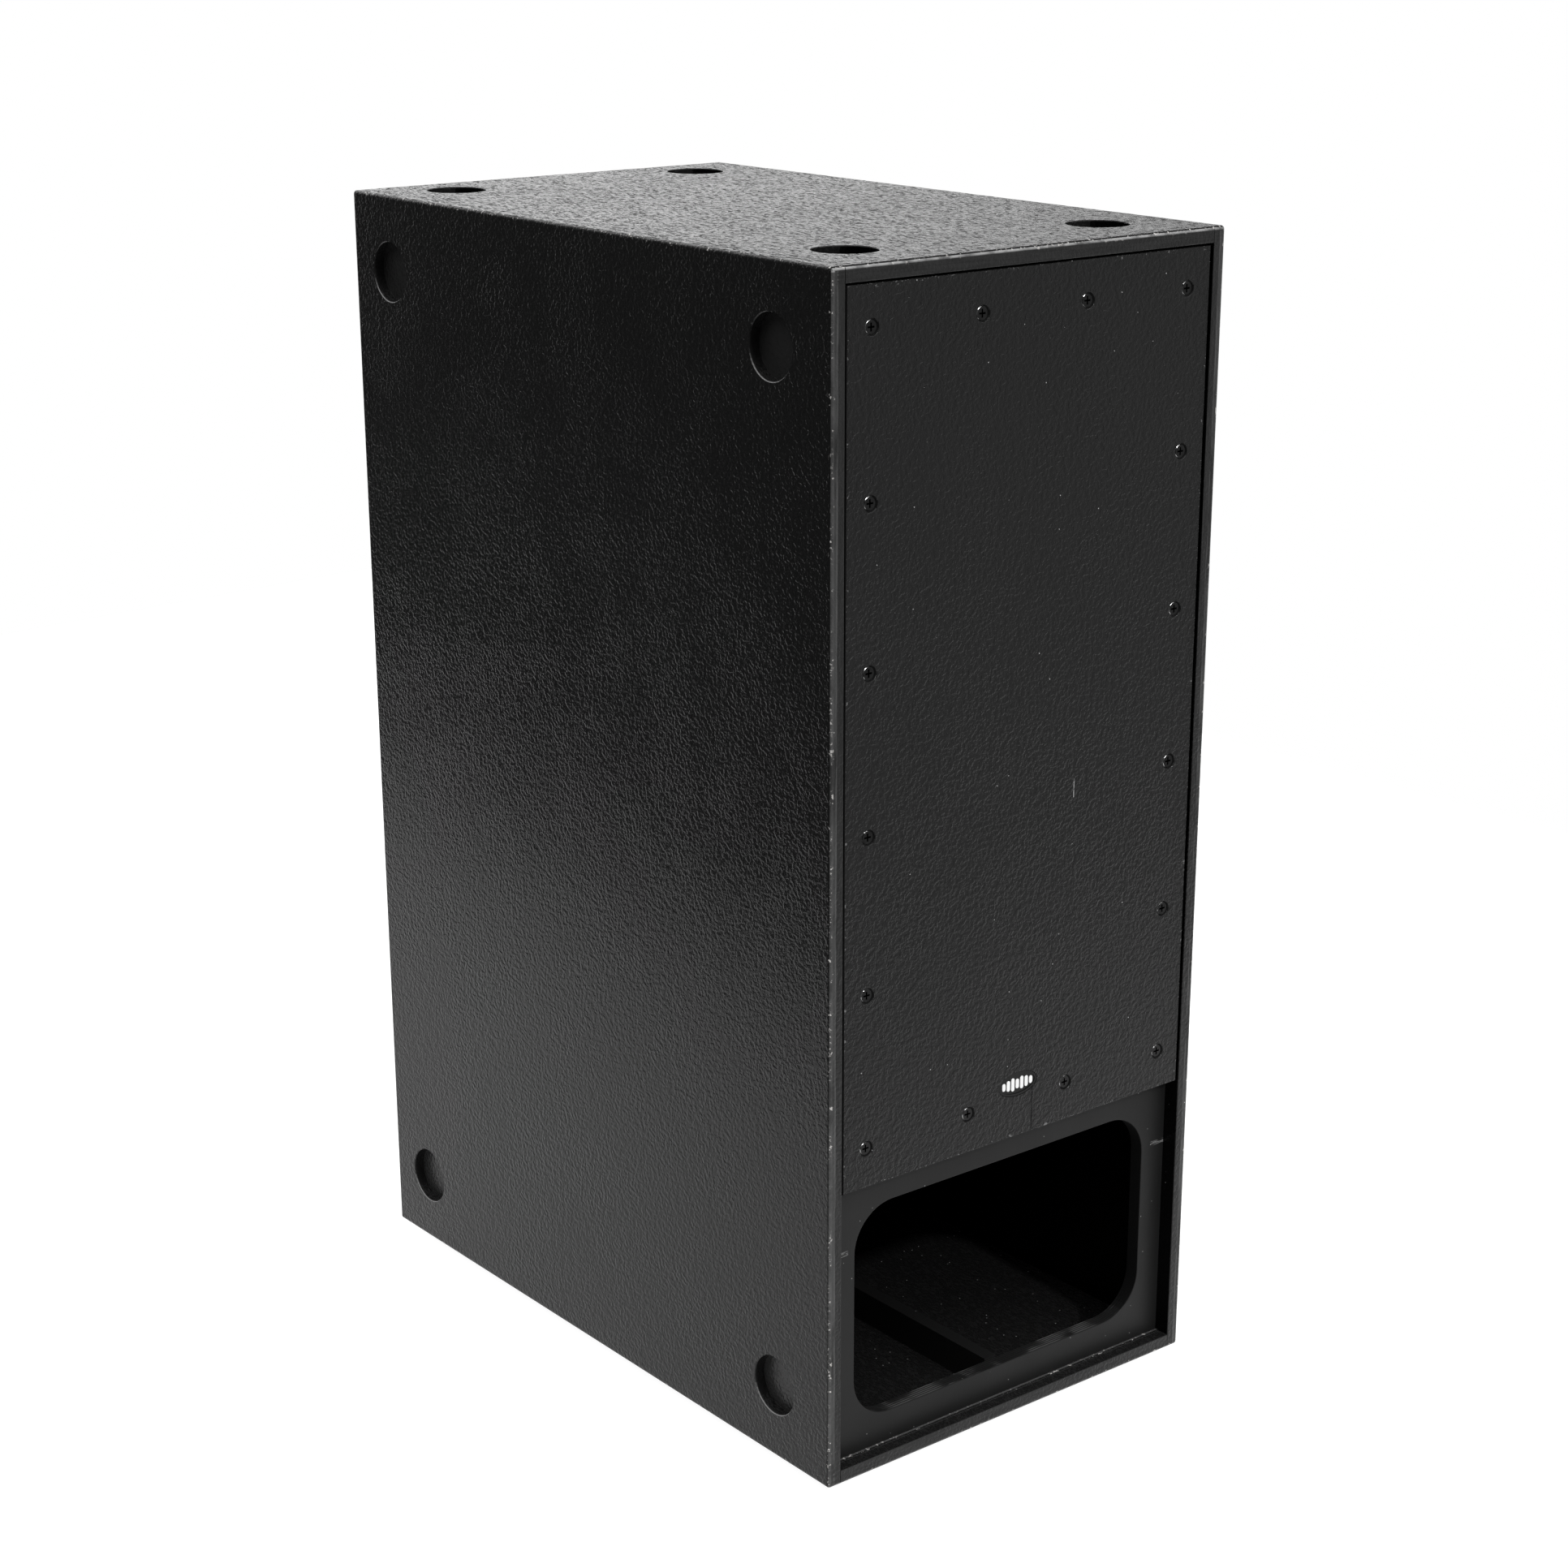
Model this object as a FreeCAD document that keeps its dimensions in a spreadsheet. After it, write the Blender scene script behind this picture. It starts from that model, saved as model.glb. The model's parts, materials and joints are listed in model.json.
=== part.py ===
import FreeCAD, Part
import math
import os
import re
import Sketcher

# Folded-horn bass cabinet: a plywood shell, a screwed-on cover panel, a mouth low in the front
# and two 12-inch drivers in a sealed chamber. Millimetres, X right, Y to the back, Z up.
# The origin is under the middle of the whole object, on the surface that the feet stand on.
# "Height" of a wooden piece is counted from the shell's underside, depth from its front edge.

DIMENSIONS = [
    # shell
    ("shell_width", 470, "outside width of the plywood shell"),
    ("shell_depth", 770, "outside depth of the shell"),
    ("shell_height", 1150, "outside height of the shell"),
    ("ply", 15, "thickness of every plywood panel"),
    ("edge_round", 3.5, "radius on the shell's outer edges"),
    ("edge_break", 1, "radius on inner and panel edges"),
    # cups that take the feet of the next cabinet
    ("cup_diameter", 60, "cup bore"),
    ("cup_depth", 12, "cup depth"),
    ("cup_lip", 0.8, "chamfer at the cup's mouth"),
    ("cup_from_side", 83, "cup centre to the shell's left or right face"),
    ("cup_from_front", 83, "cup centre to the shell's front edge"),
    ("cup_from_back", 66, "cup centre to the shell's back edge"),
    ("cup_from_end", 76, "cup centre on the side to the shell's top or bottom"),
    # feet
    ("foot_height", 14, "how far a foot stands out"),
    ("foot_base", 50, "foot diameter at the shell"),
    ("foot_tip", 44, "foot diameter at its tip"),
    ("foot_well", 22, "diameter of the well that hides the screw"),
    ("foot_well_depth", 6, "depth of that well"),
    ("washer_diameter", 20, "foot washer"),
    ("washer_thickness", 1.2, "foot washer"),
    ("foot_screw", 5, "foot screw shank"),
    ("foot_screw_head", 11, "foot screw head diameter"),
    ("foot_screw_head_height", 3.2, "foot screw head height"),
    ("foot_screw_bite", 12.5, "how far the screw goes into the plywood"),
    ("foot_band", 3, "straight band at the foot's root"),
    ("foot_bevel", 2, "bevel round the foot's tip"),
    ("fit_gap", 0.1, "radial gap between a shank and its hole"),
    # cover panel and its fixings
    ("cover_inset", 1.5, "cover face behind the shell's front edge"),
    ("cover_gap", 2, "gap between the cover and the shell"),
    ("cover_bottom", 301, "height of the cover's lower edge"),
    ("gasket_thickness", 1, "pressed foam gasket"),
    ("gasket_inset", 4, "gasket edge inside the cover's edge"),
    ("screw_column_pitch", 126.4, "cover screws, left to right"),
    ("screw_first_row", 340, "height of the lowest row of cover screws"),
    ("screw_row_pitch", 151.2, "cover screws, bottom to top"),
    ("screw_shank", 6, "cover screw thread"),
    ("screw_length", 30, "cover screw length from the top of its head"),
    ("screw_head", 12.8, "cover screw head diameter"),
    ("screw_head_bevel", 0.4, "bevel round the top of the head"),
    ("screw_head_rim", 0.3, "depth of the head above its cone"),
    ("screw_sink", 1.4, "head below the cover's face"),
    ("screw_hole", 6.6, "hole in the cover"),
    ("screw_cross", 7.6, "length of the cross recess"),
    ("screw_cross_width", 1.7, "width of the cross recess"),
    ("screw_cross_depth", 2.6, "depth of the cross recess"),
    ("nut_flange", 19, "T-nut flange diameter"),
    ("nut_flange_thickness", 1.5, "T-nut flange thickness"),
    ("nut_barrel", 8, "T-nut barrel diameter"),
    ("nut_barrel_length", 9, "T-nut barrel length"),
    # badge
    ("badge_width", 50, "oval recess, across"),
    ("badge_height", 25, "oval recess, up and down"),
    ("badge_middle", 355, "height of the badge's middle"),
    ("badge_recess", 2.2, "depth of the recess"),
    ("badge_thickness", 1.8, "badge plate with its rim"),
    ("badge_rim", 2.2, "width of the badge's raised rim"),
    ("badge_rim_height", 0.7, "how far the rim stands up"),
    # front board: mouth and access opening
    ("mouth_width", 379, "mouth, across"),
    ("mouth_bottom", 46.5, "height of the mouth's lower edge"),
    ("mouth_height", 224, "mouth, up and down"),
    ("mouth_corner", 46, "mouth corner radius"),
    ("access_width", 346, "opening behind the cover, across"),
    ("access_bottom", 357, "height of that opening's lower edge"),
    ("access_height", 722, "opening behind the cover, up and down"),
    ("access_corner", 40, "its corner radius"),
    # horn and chamber
    ("rib_height", 34.5, "stiffening rib above the floor"),
    ("rib_end", 640, "depth of the rib's far end"),
    ("ceiling_bottom", 286, "height of the duct ceiling's underside"),
    ("chamber_front", 150, "depth of the driver board's front face"),
    ("chamber_back", 590, "depth of the chamber rear wall's back face"),
    ("chamber_roof", 1020, "height of the chamber roof's underside"),
    ("rear_inset", 12, "rear panel inside the shell's back edge"),
    ("deflector_reach", 100, "how far a corner deflector reaches along each wall"),
    ("brace_window_width", 160, "window in the chamber brace, across"),
    ("brace_window_depth", 250, "window in the chamber brace, front to back"),
    ("brace_window_corner", 25, "its corner radius"),
    # drivers
    ("lower_driver", 527, "height of the lower driver's axis"),
    ("upper_driver", 852, "height of the upper driver's axis"),
    ("driver_cutout", 283, "hole in the driver board"),
    ("driver_flange", 315, "basket outside diameter"),
    ("driver_bolt_circle", 298, "bolt circle diameter"),
    ("driver_bolt", 5, "driver bolt thread"),
    ("driver_bolt_head", 8.5, "driver bolt head diameter"),
    ("driver_bolt_head_height", 5, "driver bolt head height"),
    ("driver_bolt_key", 4.6, "hexagon socket in that head, corner to corner"),
    ("driver_bolt_key_depth", 3, "depth of that socket"),
    ("driver_bolt_length", 24, "driver bolt length under its head"),
    ("driver_nut_flange", 16, "driver T-nut flange diameter"),
    ("driver_nut_barrel", 6.4, "driver T-nut barrel diameter"),
    ("terminal_width", 28, "terminal block, across"),
    ("terminal_length", 16, "terminal block, front to back"),
    ("terminal_thickness", 14, "terminal block, up and down"),
    ("terminal_reach", 96, "driver axis to the terminal block"),
    ("terminal_front", 57, "front of the terminal block behind the driver board's face"),
    # rear fittings
    ("plate_width", 90, "input plate, across"),
    ("plate_height", 170, "input plate, up and down"),
    ("plate_corner", 10, "input plate corner radius"),
    ("plate_thickness", 3, "input plate thickness"),
    ("plate_middle", 690, "height of the input plate's middle"),
    ("plate_lap", 18, "how far the input plate laps over the rear panel"),
    ("plate_screw", 4, "input plate and handle screw thread"),
    ("plate_screw_head", 8, "diameter of its pan head"),
    ("plate_screw_head_height", 2.4, "height of its pan head"),
    ("plate_screw_cross", 4.6, "length of its cross recess"),
    ("plate_screw_cross_width", 1.1, "width of its cross recess"),
    ("plate_screw_cross_depth", 1.5, "depth of its cross recess"),
    ("plate_screw_length", 14, "its length under the head"),
    ("plate_screw_inset", 9, "its axis to the input plate's edges"),
    ("socket_pitch", 70, "distance between the two sockets"),
    ("socket_body", 24, "socket body diameter"),
    ("socket_length", 25, "socket body behind the plate's face"),
    ("socket_flange", 30, "socket flange diameter"),
    ("socket_flange_thickness", 2, "socket flange thickness"),
    ("socket_bore", 21, "bore that takes the plug"),
    ("socket_bore_depth", 16, "floor of the bore behind the plate's face"),
    ("socket_post", 7, "diameter of the post in the bore"),
    ("socket_post_sink", 2, "end of the post behind the plate's face"),
    ("lead_diameter", 6, "internal two-core lead"),
    ("handle_width", 150, "handle dish, across"),
    ("handle_height", 100, "handle dish, up and down"),
    ("handle_depth", 44, "handle dish depth inside the panel's face"),
    ("handle_flange", 14, "width of the handle's flange"),
    ("handle_flange_thickness", 3, "thickness of the handle's flange"),
    ("handle_wall", 3, "wall of the handle dish"),
    ("handle_bar", 22, "diameter of the grip bar"),
    ("handle_bar_rise", 1, "how far the bar stands out of the rear panel's face"),
    ("handle_corner", 16, "corner radius of the dish"),
    ("lower_handle", 230, "height of the lower handle's middle"),
    ("upper_handle", 960, "height of the upper handle's middle"),
]

doc = FreeCAD.newDocument("bass_cabinet")
sheet = doc.addObject("Spreadsheet::Sheet", "Dimensions")
for row, (alias, value, note) in enumerate(DIMENSIONS, start=1):
    sheet.set("A%d" % row, alias)
    sheet.set("B%d" % row, str(value))
    sheet.set("C%d" % row, note)
    sheet.setAlias("B%d" % row, alias)
doc.recompute()

ALIASES = {alias for alias, value, note in DIMENSIONS}


def dim(alias):
    """The number in the sheet's cell of that name."""
    return float(sheet.get(alias))


def bound(text):
    """An expression in which each alias points at its cell in the sheet."""
    return re.sub(r"[a-z][a-z_]+", lambda m: "Dimensions." + m[0] if m[0] in ALIASES else m[0], text)


# Reference planes of the shell, as expressions.
LEFT = "(0 - (shell_width + foot_height) / 2)"
RIGHT = "((shell_width - foot_height) / 2)"
MIDDLE = "(0 - foot_height / 2)"
FRONT = "(0 - shell_depth / 2)"
BASE = "foot_height"
INNER_LEFT = LEFT + " + ply"
INNER_WIDTH = "(shell_width - 2 * ply)"
INNER_HEIGHT = "(shell_height - 2 * ply)"
BOARD_RECESS = "(cover_inset + ply + gasket_thickness)"
REAR_FACE = "(shell_depth - rear_inset)"
COVER_TOP = "(shell_height - ply - cover_gap)"

FACING = {
    "back": FreeCAD.Rotation(),
    "down": FreeCAD.Rotation(FreeCAD.Vector(1, 0, 0), -90),
    "right": FreeCAD.Rotation(FreeCAD.Vector(0, 0, 1), -90),
}
LYING = FACING["down"]  # turns a primitive's own Z axis to the back
ALONG_Y = FreeCAD.Vector(0, 1, 0)
ALONG_Z = FreeCAD.Vector(0, 0, 1)
ORIGIN = FreeCAD.Vector(0, 0, 0)

DRIVERS = {"lower": "lower_driver", "upper": "upper_driver"}
TERMINAL_SIDE = {"lower": 1, "upper": -1}
BOLT_ANGLES = [22.5 + 45 * k for k in range(8)]
HANDLES = ["lower_handle", "upper_handle"]
SOCKETS = [("lower_input_socket", "plate_middle - socket_pitch / 2"),
           ("upper_input_socket", "plate_middle + socket_pitch / 2")]
SIGNS = ("(0 - 1)", "1")

TOLERANCE = 0.01  # two measures nearer than this are the same
PARALLEL = 0.99  # least cosine between a line and an axis that it lies along
OVERSHOOT = 1  # how far a cutting tool runs past the face it starts from

finished = []


# ---- building blocks ------------------------------------------------------------------------

def bind(item, **sizes):
    for name, text in sizes.items():
        item.setExpression(name, bound(text))


def place(item, corner):
    for axis, text in zip("xyz", corner):
        item.setExpression("Placement.Base." + axis, bound(text))


def body(label, corner, facing="back"):
    made = doc.addObject("PartDesign::Body", label)
    made.Label = label
    made.Placement.Rotation = FACING[facing]
    place(made, corner)
    return made


def sketch_on(made, role, offset=None):
    """A sketch on one of the body's own origin planes, moved along the plane's normal."""
    sketch = made.newObject("Sketcher::SketchObject", made.Label + "_sketch")
    plane = [item for item in made.Origin.OriginFeatures if item.Role == role][0]
    sketch.AttachmentSupport = [(plane, "")]
    sketch.MapMode = "FlatFace"
    if offset:
        sketch.setExpression("AttachmentOffset.Base.z", bound(offset))
    return sketch


def fix(sketch, constraint, text):
    """Add a constraint and bind its value to an expression."""
    index = sketch.addConstraint(constraint)
    name = "size_%d" % index
    sketch.renameConstraint(index, name)
    sketch.setExpression("Constraints." + name, bound(text))


def polygon(sketch, points):
    """Closed outline; each point is a pair of expressions."""
    count = len(points)
    start = [(10.0 * k, 7.0 * (k % 2)) for k in range(count)]  # the constraints below move these
    lines = []
    for k in range(count):
        a = FreeCAD.Vector(*start[k], 0)
        b = FreeCAD.Vector(*start[(k + 1) % count], 0)
        lines.append(sketch.addGeometry(Part.LineSegment(a, b), False))
    for k in range(count):
        sketch.addConstraint(Sketcher.Constraint("Coincident", lines[k - 1], 2, lines[k], 1))
    for line, (across, along) in zip(lines, points):
        fix(sketch, Sketcher.Constraint("DistanceX", -1, 1, line, 1, 1.0), across)
        fix(sketch, Sketcher.Constraint("DistanceY", -1, 1, line, 1, 1.0), along)


def rectangle(sketch, across, along, width, height):
    far = "%s + %s" % (across, width)
    top = "%s + %s" % (along, height)
    polygon(sketch, [(across, along), (far, along), (far, top), (across, top)])


def circle(sketch, across, along, diameter):
    """A circle at a point given by two expressions."""
    start = Part.Circle(FreeCAD.Vector(20, 20, 0), ALONG_Z, 5)
    ring = sketch.addGeometry(start, False)
    fix(sketch, Sketcher.Constraint("DistanceX", -1, 1, ring, 3, 1.0), across)
    fix(sketch, Sketcher.Constraint("DistanceY", -1, 1, ring, 3, 1.0), along)
    fix(sketch, Sketcher.Constraint("Diameter", ring, 10.0), diameter)


def oval(sketch, across, along, width, height):
    """An ellipse whose long axis lies across."""
    end, side, middle = FreeCAD.Vector(30, 20, 0), FreeCAD.Vector(20, 25, 0), FreeCAD.Vector(20, 20, 0)
    ring = sketch.addGeometry(Part.Ellipse(end, side, middle), False)
    sketch.exposeInternalGeometry(ring)
    long_axis, short_axis = ring + 1, ring + 2
    sketch.addConstraint(Sketcher.Constraint("Horizontal", long_axis))
    fix(sketch, Sketcher.Constraint("DistanceX", -1, 1, ring, 3, 1.0), across)
    fix(sketch, Sketcher.Constraint("DistanceY", -1, 1, ring, 3, 1.0), along)
    fix(sketch, Sketcher.Constraint("Distance", long_axis, 10.0), width)
    fix(sketch, Sketcher.Constraint("Distance", short_axis, 5.0), height)


def feature(made, kind, sketch=None, **sizes):
    """A PartDesign feature at the tip of a body."""
    item = made.newObject("PartDesign::" + kind, made.Label + "_" + kind.lower())
    if sketch is not None:
        item.Profile = sketch
        sketch.Visibility = False
    bind(item, **sizes)
    return item


def pad(made, sketch, thickness):
    """Thickness grows along the body's own +X, +Y or +Z."""
    item = feature(made, "Pad", sketch, Length=thickness)
    item.Reversed = is_front_plane(sketch)
    doc.recompute()
    return item


def is_front_plane(sketch):
    return sketch.AttachmentSupport[0][0].Role == "XZ_Plane"


def pocket(made, sketch, depth, forward=True):
    """Cut along the body's +X, +Y or +Z, or against it when forward is False."""
    before = made.Shape.Volume
    item = feature(made, "Pocket", sketch, Length=depth)
    item.Reversed = forward != is_front_plane(sketch)
    doc.recompute()
    if made.Shape.Volume > before - TOLERANCE:
        raise SystemExit("pocket cuts nothing in " + made.Label)
    return item


def edges_where(made, keep):
    """Names of the tip's edges whose middle point passes the test."""
    names = []
    for index, edge in enumerate(made.Tip.Shape.Edges, start=1):
        if edge.Degenerated:
            continue
        middle = edge.valueAt((edge.FirstParameter + edge.LastParameter) / 2)
        if keep(middle, edge):
            names.append("Edge%d" % index)
    return names


def soften(made, kind, size, keep):
    """Fillet or chamfer the edges that pass the test."""
    names = edges_where(made, keep)
    base = made.Tip
    if kind == "Fillet":
        item = feature(made, kind, Radius=size)
    else:
        item = feature(made, kind, Size=size)
    item.Base = (base, names)
    doc.recompute()
    return item


def near(a, b):
    return abs(a - b) < TOLERANCE


def board(label, corner, role, width, height, thickness="ply"):
    """A rectangular panel with its low corner at the body's origin."""
    made = body(label, corner)
    outline = sketch_on(made, role)
    rectangle(outline, "0", "0", width, height)
    pad(made, outline, thickness)
    finished.append(made)
    return made


def turned(label, centre, profile, facing="back"):
    """A round piece about the body's own Y axis; the profile is (radius, distance along Y)."""
    made = body(label, centre, facing)
    outline = sketch_on(made, "XY_Plane")
    polygon(outline, profile)
    turn = feature(made, "Revolution", outline)
    turn.ReferenceAxis = (outline, ["V_Axis"])
    turn.Angle = 360
    doc.recompute()
    finished.append(made)
    return made


def ring_profile(inner, outer, start, end):
    return [(inner, start), (outer, start), (outer, end), (inner, end)]


def primitive(kind, corner, rotation=None, **sizes):
    item = doc.addObject("Part::" + kind, kind.lower())
    if rotation is not None:
        item.Placement.Rotation = rotation
    bind(item, **sizes)
    place(item, corner)
    return item


def boolean(kind, base, tool, label=None):
    item = doc.addObject("Part::" + kind, label or kind.lower())
    item.Base = base
    item.Tool = tool
    if label:
        item.Label = label
        finished.append(item)
    return item


def fused(label, pieces):
    item = doc.addObject("Part::MultiFuse", label or "fuse")
    item.Shapes = pieces
    if label:
        item.Label = label
        finished.append(item)
    return item


def group(label, pattern, spots):
    """Identical separate solids: copies of one pattern shape moved to each spot."""
    solids = []
    for spot in spots:
        solid = pattern.copy()
        solid.Placement = spot.multiply(pattern.Placement)
        solids.append(solid)
    item = doc.addObject("Part::Feature", label)
    item.Label = label
    item.Shape = Part.makeCompound(solids)
    item.Placement = FreeCAD.Placement()
    finished.append(item)
    return item


# ---- shell ----------------------------------------------------------------------------------

CUP_DEPTHS = ["cup_from_front", "shell_depth - cup_from_back"]
CUP_HEIGHTS = ["cup_from_end", "shell_height - cup_from_end"]
CUP_WIDTHS = ["cup_from_side", "shell_width - cup_from_side"]
SCREW_HOLE = "foot_screw_bite + 1"


def on_corner(value, end):
    return near(value, 0) or near(value, end)


def round_side(made, outer):
    """Round all the outer edges of a side panel; outer is the X of its outside face."""
    depth, height = dim("shell_depth"), dim("shell_height")

    def outside(middle, edge):
        on_face = near(middle.x, outer) and (on_corner(middle.y, depth) or on_corner(middle.z, height))
        on_thickness = on_corner(middle.y, depth) and on_corner(middle.z, height)
        return on_face or on_thickness

    soften(made, "Fillet", "edge_round", outside)


def break_inner(made, inner):
    """Ease the inside front and back edges that stay in view."""
    depth = dim("shell_depth")
    soften(made, "Fillet", "edge_break", lambda p, e: near(p.x, inner) and on_corner(p.y, depth))


def cups(made, sketch, spots, forward, face):
    """Blind cups with a chamfered mouth; face tells whether a point is on the outside."""
    for across, along in spots:
        circle(sketch, across, along, "cup_diameter")
    pocket(made, sketch, "cup_depth", forward)
    radius = dim("cup_diameter") / 2

    def mouth(middle, edge):
        return face(middle) and hasattr(edge.Curve, "Radius") and near(edge.Curve.Radius, radius)

    soften(made, "Chamfer", "cup_lip", mouth)


def side_panel_left():
    made = board("left_side_panel", (LEFT, FRONT, BASE), "YZ_Plane", "shell_depth", "shell_height")
    round_side(made, 0)
    break_inner(made, dim("ply"))
    spots = [(depth, height) for depth in CUP_DEPTHS for height in CUP_HEIGHTS]
    cups(made, sketch_on(made, "YZ_Plane"), spots, True, lambda p: near(p.x, 0))


def side_panel_right():
    made = board("right_side_panel", (RIGHT + " - ply", FRONT, BASE), "YZ_Plane", "shell_depth",
                 "shell_height")
    round_side(made, dim("ply"))
    break_inner(made, 0)
    holes = sketch_on(made, "YZ_Plane", "ply")
    for depth in CUP_DEPTHS:
        for height in CUP_HEIGHTS:
            circle(holes, depth, height, "foot_screw + 2 * fit_gap")
    pocket(made, holes, SCREW_HOLE, forward=False)


def end_panel(label, height, outer, inner):
    """Top or bottom panel between the sides; outer and inner are Z in the panel's own frame."""
    made = board(label, (INNER_LEFT, FRONT, BASE + " + " + height), "XY_Plane", INNER_WIDTH, "shell_depth")
    depth = dim("shell_depth")
    soften(made, "Fillet", "edge_round", lambda p, e: near(p.z, outer) and on_corner(p.y, depth))
    soften(made, "Fillet", "edge_break", lambda p, e: near(p.z, inner) and on_corner(p.y, depth))
    return made


def top_panel():
    made = end_panel("top_panel", "shell_height - ply", dim("ply"), 0)
    spots = [(width + " - ply", depth) for width in CUP_WIDTHS for depth in CUP_DEPTHS]
    cups(made, sketch_on(made, "XY_Plane", "ply"), spots, False, lambda p: near(p.z, dim("ply")))


def bottom_panel():
    made = end_panel("bottom_panel", "0", 0, dim("ply"))
    holes = sketch_on(made, "XY_Plane")
    for width in CUP_WIDTHS:
        for depth in CUP_DEPTHS:
            circle(holes, width + " - ply", depth, "foot_screw + 2 * fit_gap")
    pocket(made, holes, SCREW_HOLE)


def round_window(made, sketch, across, along, width, height, corner, axis, through="ply"):
    """Cut a rectangular window along the body's axis and round its corners."""
    old_edges = made.Tip.Shape.Edges
    rectangle(sketch, across, along, width, height)
    pocket(made, sketch, through)

    def is_new_corner(middle, edge):
        straight = edge.Curve.TypeId == "Part::GeomLine"
        if not straight or abs(edge.Curve.Direction.dot(axis)) < PARALLEL:
            return False
        return not any(near(old.CenterOfMass.distanceToPoint(edge.CenterOfMass), 0) for old in old_edges)

    soften(made, "Fillet", corner, is_new_corner)


def corner_spots(middle, across, up):
    """The four points at plus and minus those distances from a middle height."""
    return [("%s * %s" % (left_right, across), "%s + %s * %s" % (middle, low_high, up))
            for left_right in SIGNS for low_high in SIGNS]


def plate_screw_spots(middle="plate_middle"):
    """The input plate has a screw near each corner."""
    return corner_spots(middle, "(plate_width / 2 - plate_screw_inset)",
                        "(plate_height / 2 - plate_screw_inset)")


def handle_screw_spots(middle):
    """Each handle has a screw near each corner of its flange."""
    return corner_spots(middle, "(handle_width / 2 + handle_flange / 2)",
                        "(handle_height / 2 + handle_flange / 2)")


def rear_panel():
    corner = (INNER_LEFT, FRONT + " + " + REAR_FACE + " - ply", BASE + " + ply")
    made = board("rear_panel", corner, "XZ_Plane", INNER_WIDTH, INNER_HEIGHT)
    middle = INNER_WIDTH + " / 2"
    for height in HANDLES:
        round_window(made, sketch_on(made, "XZ_Plane"), middle + " - handle_width / 2",
                     height + " - ply - handle_height / 2", "handle_width", "handle_height",
                     "handle_corner", ALONG_Y)
    round_window(made, sketch_on(made, "XZ_Plane"), middle + " - plate_width / 2 + plate_lap",
                 "plate_middle - ply - plate_height / 2 + plate_lap", "plate_width - 2 * plate_lap",
                 "plate_height - 2 * plate_lap", "plate_corner", ALONG_Y)
    holes = sketch_on(made, "XZ_Plane")
    spots = plate_screw_spots()
    for height in HANDLES:
        spots += handle_screw_spots(height)
    for across, height in spots:
        circle(holes, middle + " + " + across, height + " - ply", "plate_screw + 2 * fit_gap")
    pocket(made, holes, "ply")


# ---- front: board, cover, gasket, badge, fixings --------------------------------------------

SCREW_COLUMNS = [-1.5, -0.5, 0.5, 1.5]
SCREW_ROWS = range(6)


def cover_screw_spots():
    """Column and row of each screw round the cover's edge, as (pitches from the middle, row)."""
    edge_columns = (SCREW_COLUMNS[0], SCREW_COLUMNS[-1])
    edge_rows = (SCREW_ROWS[0], SCREW_ROWS[-1])
    return [(column, row) for row in SCREW_ROWS for column in SCREW_COLUMNS
            if column in edge_columns or row in edge_rows]


def cover_holes(sketch, left, bottom, diameter):
    """One circle per cover screw, in a sketch whose origin is at that shell position."""
    for column, row in cover_screw_spots():
        across = "shell_width / 2 + (%s) * screw_column_pitch - (%s)" % (column, left)
        up = "screw_first_row + %d * screw_row_pitch - (%s)" % (row, bottom)
        circle(sketch, across, up, diameter)


def front_board():
    corner = (INNER_LEFT, FRONT + " + " + BOARD_RECESS, BASE + " + ply")
    made = board("front_board", corner, "XZ_Plane", INNER_WIDTH, INNER_HEIGHT)
    middle = INNER_WIDTH + " / 2"
    round_window(made, sketch_on(made, "XZ_Plane"), middle + " - mouth_width / 2", "mouth_bottom - ply",
                 "mouth_width", "mouth_height", "mouth_corner", ALONG_Y)
    round_window(made, sketch_on(made, "XZ_Plane"), middle + " - access_width / 2", "access_bottom - ply",
                 "access_width", "access_height", "access_corner", ALONG_Y)
    holes = sketch_on(made, "XZ_Plane")
    cover_holes(holes, "ply", "ply", "nut_barrel")
    pocket(made, holes, "ply")
    soften(made, "Fillet", "edge_break", lambda p, e: near(p.y, 0) and in_mouth(p))


def in_mouth(point):
    """True for a point on the rim of the mouth, in the front board's own frame."""
    middle = dim("shell_width") / 2 - dim("ply")
    low = dim("mouth_bottom") - dim("ply")
    high = low + dim("mouth_height")
    inside_width = abs(point.x - middle) < dim("mouth_width") / 2 + TOLERANCE
    return inside_width and low - TOLERANCE < point.z < high + TOLERANCE


def cover_panel():
    corner = (INNER_LEFT + " + cover_gap", FRONT + " + cover_inset", BASE + " + cover_bottom")
    made = board("cover_panel", corner, "XZ_Plane", INNER_WIDTH + " - 2 * cover_gap",
                 COVER_TOP + " - cover_bottom")
    soften(made, "Fillet", "edge_break", lambda p, e: near(p.y, 0))
    holes = sketch_on(made, "XZ_Plane")
    cover_holes(holes, "ply + cover_gap", "cover_bottom", "screw_hole")
    pocket(made, holes, "ply")
    radius = dim("screw_hole") / 2

    def mouth(middle, edge):
        return near(middle.y, 0) and hasattr(edge.Curve, "Radius") and near(edge.Curve.Radius, radius)

    soften(made, "Chamfer", "(screw_head - screw_hole) / 2 + screw_sink + screw_head_rim", mouth)
    recess = sketch_on(made, "XZ_Plane")
    oval(recess, "shell_width / 2 - ply - cover_gap", "badge_middle - cover_bottom", "badge_width",
         "badge_height")
    pocket(made, recess, "badge_recess")


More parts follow.
